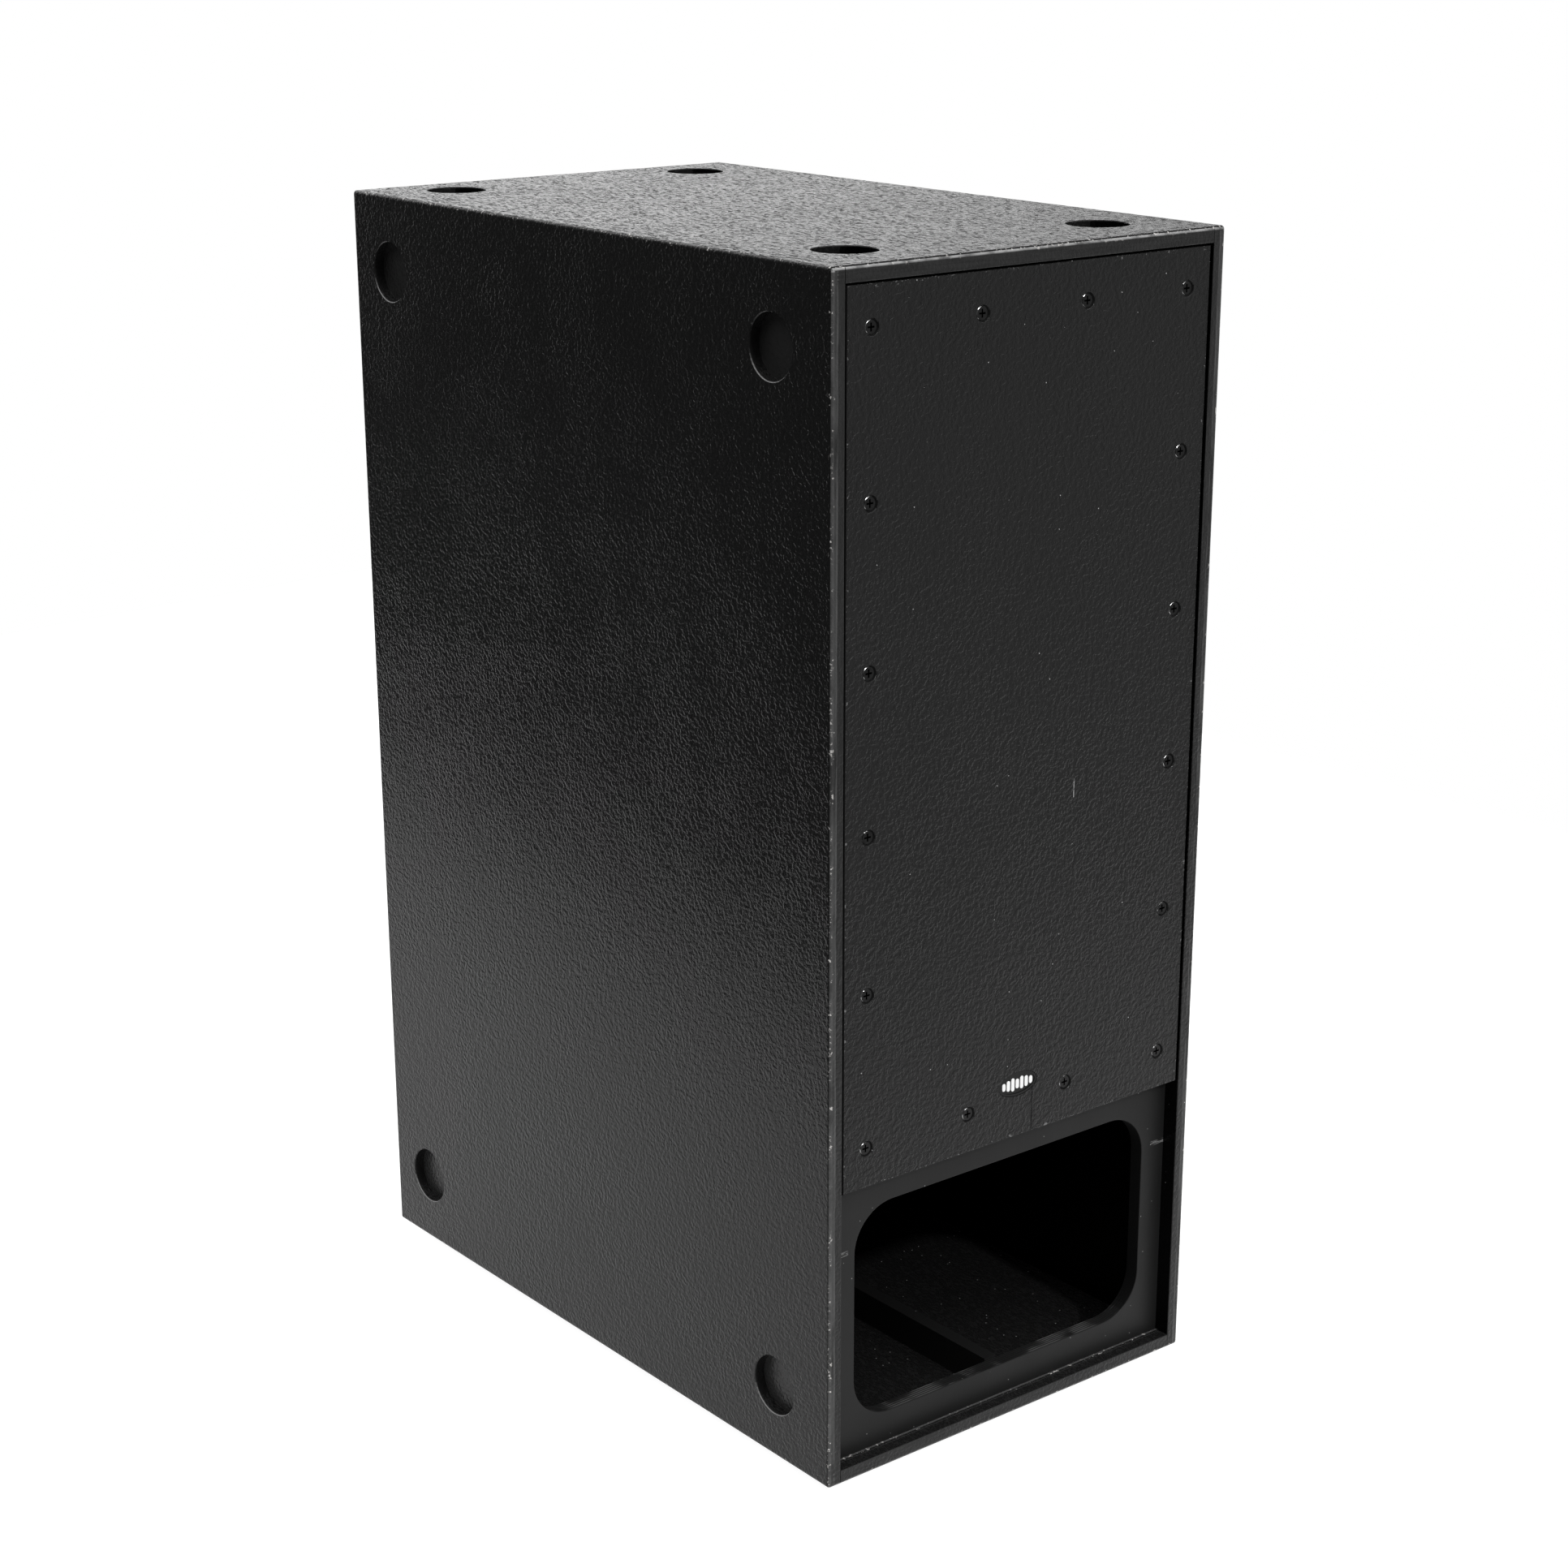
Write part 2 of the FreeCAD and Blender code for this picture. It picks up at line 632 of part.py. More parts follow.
def cover_gasket():
    left = "ply + cover_gap + gasket_inset"
    bottom = "cover_bottom + gasket_inset"
    corner = (LEFT + " + " + left, FRONT + " + cover_inset + ply", BASE + " + " + bottom)
    width = INNER_WIDTH + " - 2 * cover_gap - 2 * gasket_inset"
    height = COVER_TOP + " - cover_bottom - 2 * gasket_inset"
    made = board("cover_gasket", corner, "XZ_Plane", width, height, "gasket_thickness")
    round_window(made, sketch_on(made, "XZ_Plane"), "shell_width / 2 - access_width / 2 - (%s)" % left,
                 "access_bottom - (%s)" % bottom, "access_width", "access_height", "access_corner",
                 ALONG_Y, "gasket_thickness")
    holes = sketch_on(made, "XZ_Plane")
    cover_holes(holes, left, bottom, "screw_hole")
    pocket(made, holes, "gasket_thickness")


def badge():
    """Oval plate with a raised rim, flat inside, half a millimetre clear of its recess all round."""
    depth = FRONT + " + cover_inset + badge_recess - badge_thickness"
    made = body("badge", (MIDDLE, depth, BASE + " + badge_middle"))
    plate = sketch_on(made, "XZ_Plane")
    oval(plate, "0", "0", "badge_width - 1", "badge_height - 1")
    pad(made, plate, "badge_thickness")
    field = sketch_on(made, "XZ_Plane")
    oval(field, "0", "0", "badge_width - 1 - 2 * badge_rim", "badge_height - 1 - 2 * badge_rim")
    pocket(made, field, "badge_rim_height")
    finished.append(made)


def cover_spots(depth):
    """Placements of the cover fixings with their axis along Y, at a depth behind the shell's front."""
    left = -(dim("shell_width") + dim("foot_height")) / 2
    spots = []
    for column, row in cover_screw_spots():
        x = left + dim("shell_width") / 2 + column * dim("screw_column_pitch")
        z = dim("foot_height") + dim("screw_first_row") + row * dim("screw_row_pitch")
        spots.append(FreeCAD.Placement(FreeCAD.Vector(x, depth - dim("shell_depth") / 2, z),
                                       FreeCAD.Rotation()))
    return spots


def rod(diameter, start, end):
    """A cylinder about the Y axis from one Y to another."""
    return Part.makeCylinder(diameter / 2, end - start, FreeCAD.Vector(0, start, 0), ALONG_Y)


def cross_recess(screw, length, width, start, end):
    """Cut a cross recess into a screw's head, between two Y levels."""
    for across, up in ((length, width), (width, length)):
        low = FreeCAD.Vector(-across / 2, start, -up / 2)
        screw = screw.cut(Part.makeBox(across, end - start, up, low))
    return screw


def countersunk_screw():
    """Flat-headed machine screw along +Y from the top of its head, with a cross recess."""
    head, shank, length = dim("screw_head") / 2, dim("screw_shank") / 2, dim("screw_length")
    rim, bevel = dim("screw_head_rim"), dim("screw_head_bevel")
    cone_end = rim + head - shank
    tip = 1.0
    profile = [(0, 0), (head - bevel, 0), (head, rim), (shank, cone_end), (shank, length - tip),
               (shank - tip, length), (0, length), (0, 0)]
    solid = Part.Face(Part.makePolygon([FreeCAD.Vector(r, y, 0) for r, y in profile]))
    solid = solid.revolve(ORIGIN, ALONG_Y, 360)
    return cross_recess(solid, dim("screw_cross"), dim("screw_cross_width"), -OVERSHOOT,
                        dim("screw_cross_depth"))


def t_nut(flange, barrel, bore, length):
    """T-nut with its flange face at Y = 0 and its barrel towards -Y."""
    thick = dim("nut_flange_thickness")
    solid = rod(flange, 0, thick).fuse(rod(barrel, -length, 0))
    return solid.cut(rod(bore, -length - OVERSHOOT, thick + OVERSHOOT)).removeSplitter()


def cover_fixings():
    group("cover_screws", countersunk_screw(), cover_spots(dim("cover_inset") + dim("screw_sink")))
    nut = t_nut(dim("nut_flange"), dim("nut_barrel") - 2 * dim("fit_gap"),
                dim("screw_shank") + 2 * dim("fit_gap"), dim("nut_barrel_length"))
    board_back = dim("cover_inset") + dim("gasket_thickness") + 2 * dim("ply")
    group("cover_t_nuts", nut, cover_spots(board_back))


# ---- horn and chamber woodwork --------------------------------------------------------------

def floor_rib():
    depth = BOARD_RECESS + " + ply"
    board("floor_rib", (MIDDLE + " - ply / 2", FRONT + " + " + depth, BASE + " + ply"), "YZ_Plane",
          "rib_end - (%s)" % depth, "rib_height")


def duct_ceiling():
    depth = BOARD_RECESS + " + ply"
    board("duct_ceiling", (INNER_LEFT, FRONT + " + " + depth, BASE + " + ceiling_bottom"), "XY_Plane",
          INNER_WIDTH, "chamber_back - (%s)" % depth)


def driver_board():
    floor = "ceiling_bottom + ply"
    made = board("driver_board", (INNER_LEFT, FRONT + " + chamber_front", BASE + " + " + floor),
                 "XZ_Plane", INNER_WIDTH, "chamber_roof - (%s)" % floor)
    middle = INNER_WIDTH + " / 2"
    openings = sketch_on(made, "XZ_Plane")
    for height in DRIVERS.values():
        centre = height + " - (%s)" % floor
        circle(openings, middle, centre, "driver_cutout")
        for angle in BOLT_ANGLES:
            circle(openings, middle + " + driver_bolt_circle / 2 * cos(%s deg)" % angle,
                   centre + " + driver_bolt_circle / 2 * sin(%s deg)" % angle, "driver_nut_barrel")
    pocket(made, openings, "ply")


def chamber_rear_wall():
    floor = "ceiling_bottom + ply"
    made = board("chamber_rear_wall", (INNER_LEFT, FRONT + " + chamber_back - ply", BASE + " + " + floor),
                 "XZ_Plane", INNER_WIDTH, "chamber_roof - (%s)" % floor)
    holes = sketch_on(made, "XZ_Plane")
    for label, height in SOCKETS:
        circle(holes, INNER_WIDTH + " / 2", height + " - (%s)" % floor, "lead_diameter + 4 * fit_gap")
    pocket(made, holes, "ply")


def chamber_top():
    board("chamber_top", (INNER_LEFT, FRONT + " + chamber_front", BASE + " + chamber_roof"), "XY_Plane",
          INNER_WIDTH, "chamber_back - chamber_front")


def chamber_brace():
    """Shelf between the drivers with two windows, so that the chamber stays one air space."""
    depth = "chamber_back - chamber_front - 2 * ply"
    height = "(lower_driver + upper_driver) / 2 - ply / 2"
    made = board("chamber_brace", (INNER_LEFT, FRONT + " + chamber_front + ply", BASE + " + " + height),
                 "XY_Plane", INNER_WIDTH, depth)
    for left_right in SIGNS:
        across = INNER_WIDTH + " / 2 + %s * %s / 4 - brace_window_width / 2" % (left_right, INNER_WIDTH)
        round_window(made, sketch_on(made, "XY_Plane"), across, "(%s) / 2 - brace_window_depth / 2" % depth,
                     "brace_window_width", "brace_window_depth", "brace_window_corner", ALONG_Z)


def deflector(label, wall, toward):
    """Board across a rear corner at 45 degrees, with its ends cut to lie on both walls."""
    made = body(label, (INNER_LEFT, FRONT + " + " + REAR_FACE + " - ply", BASE + " + " + wall))
    outline = sketch_on(made, "YZ_Plane")
    reach = "deflector_reach"
    inner = "(deflector_reach - ply * sqrt(2))"
    polygon(outline, [("0 - " + reach, "0"), ("0 - " + inner, "0"), ("0", toward + " * " + inner),
                      ("0", toward + " * " + reach)])
    pad(made, outline, INNER_WIDTH)
    finished.append(made)


# ---- drivers --------------------------------------------------------------------------------

# Driver profiles as (radius, distance behind the driver board's front face), millimetres.
FLANGE_FRONT = -8
MOTOR_FRONT = 76
RIM = "driver_flange / 2"
BASKET = [(134, FLANGE_FRONT), (RIM, FLANGE_FRONT), (RIM, 0), (140, 0), (140, 6), (96, 52),
          (96, MOTOR_FRONT), (41, MOTOR_FRONT), (41, 72), (90, 72), (90, 56), (79, 56), (79, 52),
          (91, 52), (93, 49), (135, 3)]
TOP_PLATE = ring_profile("39.6", "92", "76", "84")
MAGNET = ring_profile("52", "95", "84", "104")
BACK_PLATE = [("6", "76"), ("37.4", "76"), ("37.4", "104"), ("92", "104"), ("92", "112"), ("6", "112")]
VOICE_COIL = ring_profile("38", "38.9", "36", "92")
CONE = [("38.9", "40"), ("124", "0 - 7"), ("124", "0 - 5.4"), ("38.9", "42.4")]
CAP_RADIUS, CAP_RISE, CAP_BASE, CAP_WALL = 44, 14, 36.5, 1
ROLL_CENTRE, ROLL_OUTER, ROLL_WALL = 131, 6, 1
LIP_INNER, LIP_OUTER = 118, 144
SPIDER_INNER, SPIDER_FLAT, SPIDER_OUTER = 39.4, 79, 88
SPIDER_WAVES, SPIDER_LEVEL, SPIDER_WAVE_HEIGHT, SPIDER_THICKNESS = 5, 51.2, 2.0, 0.8

# The basket's windows, cut along Y from in front of the flange to behind the cup.
WINDOW_COUNT = 6
WINDOW_CORNERS = [(100, 0), (132, 4), (132, 46), (100, 50)]  # radius and angle in degrees
WINDOW_START, WINDOW_LENGTH = "10", "90"


def as_text(profile):
    """Plain numbers as expressions; a negative one is written as a difference."""
    def words(value):
        if isinstance(value, str):
            return value
        return str(value) if value >= 0 else "0 - %s" % -value

    return [(words(radius), words(depth)) for radius, depth in profile]


def driver_centre(side):
    return (MIDDLE, FRONT + " + chamber_front", BASE + " + " + DRIVERS[side])


def basket(side):
    """Cast frame: flange, spoked cone and the cup that holds the motor and the spider."""
    made = turned(side + "_driver_basket", driver_centre(side), as_text(BASKET))
    window = sketch_on(made, "XZ_Plane", WINDOW_START)
    polygon(window, [("%s * cos(%s deg)" % (radius, angle), "%s * sin(%s deg)" % (radius, angle))
                     for radius, angle in WINDOW_CORNERS])
    cut = pocket(made, window, WINDOW_LENGTH)
    around = made.newObject("PartDesign::PolarPattern", made.Label + "_windows")
    around.Originals = [cut]
    around.Axis = (window, ["N_Axis"])
    around.Angle = 360
    around.Occurrences = WINDOW_COUNT
    made.Tip = around
    doc.recompute()
    holes = sketch_on(made, "XZ_Plane", "0 - (%d)" % FLANGE_FRONT)
    for angle in BOLT_ANGLES:
        circle(holes, "driver_bolt_circle / 2 * cos(%s deg)" % angle,
               "driver_bolt_circle / 2 * sin(%s deg)" % angle, "driver_bolt + 2 * fit_gap")
    pocket(made, holes, "0 - (%d)" % FLANGE_FRONT)


def dust_cap(side):
    """Shallow dome over the voice coil."""
    sphere = (CAP_RADIUS ** 2 + CAP_RISE ** 2) / (2.0 * CAP_RISE)
    apex = CAP_BASE - CAP_RISE
    steps = 12

    def arc(radius, reach):
        """Points on a circle about the dome's centre, from the axis out to a radius."""
        far = math.asin(reach / radius)
        return [(radius * math.sin(far * k / steps), apex + sphere - radius * math.cos(far * k / steps))
                for k in range(steps + 1)]

    outside = arc(sphere, CAP_RADIUS)
    inside = arc(sphere - CAP_WALL, CAP_RADIUS * (sphere - CAP_WALL) / sphere)
    turned(side + "_driver_dust_cap", driver_centre(side), as_text(outside + inside[::-1]))


def surround(side):
    """Half roll between the cone's edge and the basket flange, with a flat lip on each side."""
    x, y, z = driver_centre(side)
    level = y + " + %s" % (FLANGE_FRONT - ROLL_WALL / 2)
    bulge = primitive("Torus", (x, level, z), LYING, Radius1=str(ROLL_CENTRE), Radius2=str(ROLL_OUTER))
    hollow = primitive("Torus", (x, level, z), LYING, Radius1=str(ROLL_CENTRE),
                       Radius2=str(ROLL_OUTER - ROLL_WALL))
    roll = boolean("Cut", bulge, hollow)
    front = primitive("Cylinder", (x, "%s - %d" % (level, 2 * ROLL_OUTER), z), LYING,
                      Radius=str(LIP_OUTER), Height=str(2 * ROLL_OUTER))
    half = boolean("Common", roll, front)
    roll_inside = ROLL_CENTRE - ROLL_OUTER + ROLL_WALL
    roll_outside = ROLL_CENTRE + ROLL_OUTER - ROLL_WALL
    lips = []
    for inner, outer in ((LIP_INNER, roll_inside), (roll_outside, LIP_OUTER)):
        start = y + " + %s" % (FLANGE_FRONT - ROLL_WALL)
        disc = primitive("Cylinder", (x, start, z), LYING, Radius=str(outer), Height=str(ROLL_WALL))
        hole = primitive("Cylinder", (x, "%s - %d" % (start, OVERSHOOT), z), LYING, Radius=str(inner),
                         Height=str(ROLL_WALL + 2 * OVERSHOOT))
        lips.append(boolean("Cut", disc, hole))
    fused(side + "_driver_surround", [half] + lips)


def spider(side):
    """Corrugated disc that centres the coil, glued to the basket's ledge."""
    steps = 2 * SPIDER_WAVES
    pitch = (SPIDER_FLAT - SPIDER_INNER) / steps
    front = [(SPIDER_INNER + pitch * k, SPIDER_LEVEL - SPIDER_WAVE_HEIGHT * (k % 2))
             for k in range(steps + 1)]
    front.append((SPIDER_OUTER, SPIDER_LEVEL))
    back = [(radius, level + SPIDER_THICKNESS) for radius, level in reversed(front)]
    turned(side + "_driver_spider", driver_centre(side), as_text(front + back))


def terminals(side):
    """Push terminals on the basket's cup, on the side that faces the other driver."""
    x, y, z = driver_centre(side)
    tab_width, tab_length, tab_thickness, tab_from_middle = 6, 4, 2, 4
    low = "terminal_reach"
    if TERMINAL_SIDE[side] < 0:
        low = "(0 - terminal_reach - terminal_thickness)"
    corner = (x + " - terminal_width / 2", y + " + terminal_front", z + " + " + low)
    pieces = [primitive("Box", corner, Length="terminal_width", Width="terminal_length",
                        Height="terminal_thickness")]
    for start in (-tab_from_middle - tab_width, tab_from_middle):
        corner = ("%s + (%d)" % (x, start), "%s + terminal_front - %d" % (y, tab_length),
                  "%s + %s + (terminal_thickness - %d) / 2" % (z, low, tab_thickness))
        pieces.append(primitive("Box", corner, Length=str(tab_width), Width=str(tab_length),
                                Height=str(tab_thickness)))
    fused(side + "_driver_terminals", pieces)


def driver(side):
    name = side + "_driver_"
    centre = driver_centre(side)
    basket(side)
    turned(name + "top_plate", centre, TOP_PLATE)
    turned(name + "magnet", centre, MAGNET)
    turned(name + "back_plate", centre, BACK_PLATE)
    turned(name + "voice_coil", centre, VOICE_COIL)
    turned(name + "cone", centre, CONE)
    dust_cap(side)
    surround(side)
    spider(side)
    terminals(side)


def driver_spots(depth):
    """Placements of the driver bolts at a depth behind the driver board's front face."""
    spots = []
    for alias in DRIVERS.values():
        for angle in BOLT_ANGLES:
            arm = FreeCAD.Vector(dim("driver_bolt_circle") / 2, 0, 0)
            arm = FreeCAD.Rotation(ALONG_Y, -angle).multVec(arm)
            axis = FreeCAD.Vector(-dim("foot_height") / 2,
                                  dim("chamber_front") + depth - dim("shell_depth") / 2,
                                  dim("foot_height") + dim(alias))
            spots.append(FreeCAD.Placement(axis + arm, FreeCAD.Rotation()))
    return spots


def socket_head_bolt():
    """Cap bolt along +Y from under its head, with a hexagon socket."""
    head_top = -dim("driver_bolt_head_height")
    shank = rod(dim("driver_bolt"), 0, dim("driver_bolt_length"))
    bolt = shank.fuse(rod(dim("driver_bolt_head"), head_top, 0))
    corner = FreeCAD.Vector(dim("driver_bolt_key") / 2, head_top - OVERSHOOT, 0)
    hexagon = [FreeCAD.Rotation(ALONG_Y, 60 * k).multVec(corner) for k in range(7)]
    key = Part.Face(Part.makePolygon(hexagon)).extrude(ALONG_Y * (dim("driver_bolt_key_depth") + OVERSHOOT))
    return bolt.cut(key).removeSplitter()


def driver_fixings():
    group("driver_bolts", socket_head_bolt(), driver_spots(FLANGE_FRONT))
    nut = t_nut(dim("driver_nut_flange"), dim("driver_nut_barrel") - 2 * dim("fit_gap"),
                dim("driver_bolt") + 2 * dim("fit_gap"), dim("nut_barrel_length"))
    group("driver_t_nuts", nut, driver_spots(dim("ply")))


# ---- rear fittings --------------------------------------------------------------------------

def input_plate():
    """Steel plate on the rear panel, with a round hole for each socket."""
    corner = (MIDDLE + " - plate_width / 2", FRONT + " + " + REAR_FACE,
              BASE + " + plate_middle - plate_height / 2")
    made = board("input_plate", corner, "XZ_Plane", "plate_width", "plate_height", "plate_thickness")
    soften(made, "Fillet", "plate_corner",
           lambda p, e: on_corner(p.x, dim("plate_width")) and on_corner(p.z, dim("plate_height")))
    holes = sketch_on(made, "XZ_Plane")
    for label, height in SOCKETS:
        circle(holes, "plate_width / 2", height + " - plate_middle + plate_height / 2",
               "socket_body + 2 * fit_gap")
    for across, height in plate_screw_spots("plate_height / 2"):
        circle(holes, "plate_width / 2 + " + across, height, "plate_screw + 2 * fit_gap")
    pocket(made, holes, "plate_thickness")


def input_socket(label, height):
    """Round four-pole speaker socket: a cup with a centre post, opening to the back."""
    face = FRONT + " + " + REAR_FACE + " + plate_thickness"
    outside = [("0", "0 - socket_length"), ("socket_body / 2", "0 - socket_length"),
               ("socket_body / 2", "0"), ("socket_flange / 2", "0"),
               ("socket_flange / 2", "socket_flange_thickness")]
    inside = [("socket_bore / 2", "socket_flange_thickness"), ("socket_bore / 2", "0 - socket_bore_depth"),
              ("socket_post / 2", "0 - socket_bore_depth"), ("socket_post / 2", "0 - socket_post_sink"),
              ("0", "0 - socket_post_sink")]
    turned(label, (MIDDLE, face, BASE + " + " + height), outside + inside)


def handle(label, height):
    """Moulded pocket handle: flange, dish and a grip bar across the middle."""
    made = body(label, (MIDDLE, FRONT + " + " + REAR_FACE, BASE + " + " + height))

    def along_y(middle, edge):
        return edge.Curve.TypeId == "Part::GeomLine" and abs(edge.Curve.Direction.y) > PARALLEL

    def on_dish(middle, edge):
        return along_y(middle, edge) and middle.y < -TOLERANCE

    flange = sketch_on(made, "XZ_Plane")
    rectangle(flange, "0 - handle_width / 2 - handle_flange", "0 - handle_height / 2 - handle_flange",
              "handle_width + 2 * handle_flange", "handle_height + 2 * handle_flange")
    pad(made, flange, "handle_flange_thickness")
    soften(made, "Fillet", "handle_corner", along_y)
    dish = sketch_on(made, "XZ_Plane", "handle_depth")
    rectangle(dish, "0 - handle_width / 2 + fit_gap", "0 - handle_height / 2 + fit_gap",
              "handle_width - 2 * fit_gap", "handle_height - 2 * fit_gap")
    pad(made, dish, "handle_depth")
    soften(made, "Fillet", "handle_corner", on_dish)
    hollow = sketch_on(made, "XZ_Plane", "handle_depth - handle_wall")
    rectangle(hollow, "0 - handle_width / 2 + handle_wall", "0 - handle_height / 2 + handle_wall",
              "handle_width - 2 * handle_wall", "handle_height - 2 * handle_wall")
    pocket(made, hollow, "handle_depth - handle_wall + handle_flange_thickness")
    bar = sketch_on(made, "YZ_Plane", "0 - handle_width / 2 + handle_wall / 2")
    circle(bar, "0 - handle_bar / 2 + handle_bar_rise", "0", "handle_bar")
    feature(made, "Pad", bar, Length="handle_width - handle_wall")
    doc.recompute()
    holes = sketch_on(made, "XZ_Plane")
    for across, up in handle_screw_spots("0"):
        circle(holes, across, up, "plate_screw + 2 * fit_gap")
    pocket(made, holes, "handle_flange_thickness")
    finished.append(made)


def rear_screws():
    """Pan-head screws of the input plate and the handles, heads towards +Y."""
    top = dim("plate_screw_head_height")
    shank = rod(dim("plate_screw"), -dim("plate_screw_length"), 0)
    screw = shank.fuse(rod(dim("plate_screw_head"), 0, top))
    screw = cross_recess(screw, dim("plate_screw_cross"), dim("plate_screw_cross_width"),
                         top - dim("plate_screw_cross_depth"), top + OVERSHOOT).removeSplitter()
    middle = -dim("foot_height") / 2
    face = dim("shell_depth") / 2 - dim("rear_inset") + dim("plate_thickness")
    plate_x = dim("plate_width") / 2 - dim("plate_screw_inset")
    plate_z = dim("plate_height") / 2 - dim("plate_screw_inset")
    reach_x = dim("handle_width") / 2 + dim("handle_flange") / 2
    reach_z = dim("handle_height") / 2 + dim("handle_flange") / 2
    for label, heights, across, up in (("input_plate_screws", ["plate_middle"], plate_x, plate_z),
                                       ("handle_screws", HANDLES, reach_x, reach_z)):
        spots = []
        for height in heights:
            for left_right in (-1, 1):
                for low_high in (-1, 1):
                    z = dim("foot_height") + dim(height) + low_high * up
                    at = FreeCAD.Vector(middle + left_right * across, face, z)
                    spots.append(FreeCAD.Placement(at, FreeCAD.Rotation()))
        group(label, screw, spots)


def lead(side, socket_offset):
    """Two-core lead from a socket to its driver: straight runs joined by tangent arcs."""
    past_wall, before_block, longest_cut = 140, 100, 90
    front, base = -dim("shell_depth") / 2, dim("foot_height")
    x = -dim("foot_height") / 2
    socket_y = front + dim("shell_depth") - dim("rear_inset") + dim("plate_thickness") - dim("socket_length")
    socket_z = base + dim("plate_middle") + socket_offset * dim("socket_pitch") / 2
    wall_y = front + dim("chamber_back")
    block_y = front + dim("chamber_front") + dim("terminal_front") + dim("terminal_length")
    from_axis = dim("terminal_reach") + dim("terminal_thickness") / 2
    block_z = base + dim(DRIVERS[side]) + TERMINAL_SIDE[side] * from_axis
    route = [FreeCAD.Vector(x, socket_y, socket_z), FreeCAD.Vector(x, wall_y - past_wall, socket_z),
             FreeCAD.Vector(x, block_y + before_block, block_z), FreeCAD.Vector(x, block_y, block_z)]
    edges = []
    reached = route[0]
    for before, corner, after in zip(route, route[1:], route[2:]):
        back = (before - corner).normalize()
        ahead = (after - corner).normalize()
        turn = (back * -1).getAngle(ahead)
        shorter_run = min(before.distanceToPoint(corner), after.distanceToPoint(corner))
        cut = min(0.45 * shorter_run, longest_cut)
        radius = cut / math.tan(turn / 2)
        first, last = corner + back * cut, corner + ahead * cut
        bulge = (back + ahead).normalize()
        middle = corner + bulge * ((radius ** 2 + cut ** 2) ** 0.5 - radius)
        edges.append(Part.LineSegment(reached, first).toShape())
        edges.append(Part.Arc(first, middle, last).toShape())
        reached = last
        print("%s lead radius %.0f mm" % (side, radius))
    edges.append(Part.LineSegment(reached, route[-1]).toShape())
    path = Part.Wire(edges)
    section = Part.Wire(Part.makeCircle(dim("lead_diameter") / 2, route[0], ALONG_Y))
    item = doc.addObject("Part::Feature", side + "_driver_lead")
    item.Label = side + "_driver_lead"
    item.Shape = path.makePipeShell([section], True, False)
    item.Placement = FreeCAD.Placement()
    finished.append(item)


# ---- feet -----------------------------------------------------------------------------------

def foot_spots():
    """Name, expression position and facing of each foot: four below and four on the right."""
    spots = []
    for depth_name, depth in zip(("front", "back"), CUP_DEPTHS):
        for width_name, width in zip(("left", "right"), CUP_WIDTHS):
            centre = (LEFT + " + " + width, FRONT + " + " + depth, BASE)
            spots.append(("bottom_foot_%s_%s" % (depth_name, width_name), centre, "down"))
        for height_name, height in zip(("low", "high"), CUP_HEIGHTS):
            centre = (RIGHT, FRONT + " + " + depth, BASE + " + " + height)
            spots.append(("side_foot_%s_%s" % (depth_name, height_name), centre, "right"))
    return spots


def foot(label, centre, facing):
    bore = "(foot_screw / 2 + fit_gap)"
    outside = [(bore, "0"), ("foot_base / 2", "0"), ("foot_base / 2", "foot_band"),
               ("foot_tip / 2", "foot_height - foot_bevel"), ("foot_tip / 2 - foot_bevel", "foot_height")]
    well = [("foot_well / 2", "foot_height"), ("foot_well / 2", "foot_height - foot_well_depth"),
            (bore, "foot_height - foot_well_depth")]
    turned(label, centre, outside + well, facing)


def foot_hardware():
    """A washer and a screw in each foot, both about the foot's own Y axis."""
    seat = dim("foot_height") - dim("foot_well_depth")
    under_head = seat + dim("washer_thickness")
    washer_hole = dim("foot_screw") + 6 * dim("fit_gap")
    washer = rod(dim("washer_diameter"), seat, under_head)
    washer = washer.cut(rod(washer_hole, seat - OVERSHOOT, under_head + OVERSHOOT))
    head = rod(dim("foot_screw_head"), under_head, under_head + dim("foot_screw_head_height"))
    screw = rod(dim("foot_screw"), -dim("foot_screw_bite"), under_head).fuse(head).removeSplitter()
    spots = [doc.getObject(label).Placement for label, centre, facing in foot_spots()]
    group("foot_washers", washer, spots)
    group("foot_screws", screw, spots)


# ---- the whole cabinet ----------------------------------------------------------------------

side_panel_left()
side_panel_right()
top_panel()
bottom_panel()
rear_panel()
front_board()
cover_panel()
cover_gasket()
badge()
cover_fixings()
floor_rib()
duct_ceiling()
driver_board()
chamber_rear_wall()
chamber_top()
chamber_brace()
deflector("rear_bottom_deflector", "ply", "1")
deflector("rear_top_deflector", "shell_height - ply", "(0 - 1)")
for side in DRIVERS:
    driver(side)
driver_fixings()
input_plate()
for label, height in SOCKETS:
    input_socket(label, height)
for label, height in zip(("lower_rear_handle", "upper_rear_handle"), HANDLES):
    handle(label, height)
rear_screws()
lead("lower", -1)
lead("upper", 1)
for label, centre, facing in foot_spots():
    foot(label, centre, facing)
doc.recompute()
foot_hardware()
doc.recompute()

# ---- check and write ------------------------------------------------------------------------

faults = [item.Label for item in doc.Objects if "Invalid" in item.State or "Error" in item.State]
for item in finished:
    if item.Shape.isNull() or not item.Shape.isValid() or not item.Shape.Solids:
        faults.append(item.Label)
if faults:
    raise SystemExit("failed: " + ", ".join(faults))
os.makedirs("parts", exist_ok=True)
for item in finished:
    item.Shape.exportStep("parts/%s.step" % item.Label)
    print("%-28s %3d solid(s) %12.0f mm3" % (item.Label, len(item.Shape.Solids), item.Shape.Volume))
print(len(finished), "nodes")
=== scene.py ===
"""Looks of the bass cabinet: paints, metals, driver materials, the badge's mark, studio and camera."""
import json
import math

import bmesh
import bpy
from mathutils import Matrix, Vector


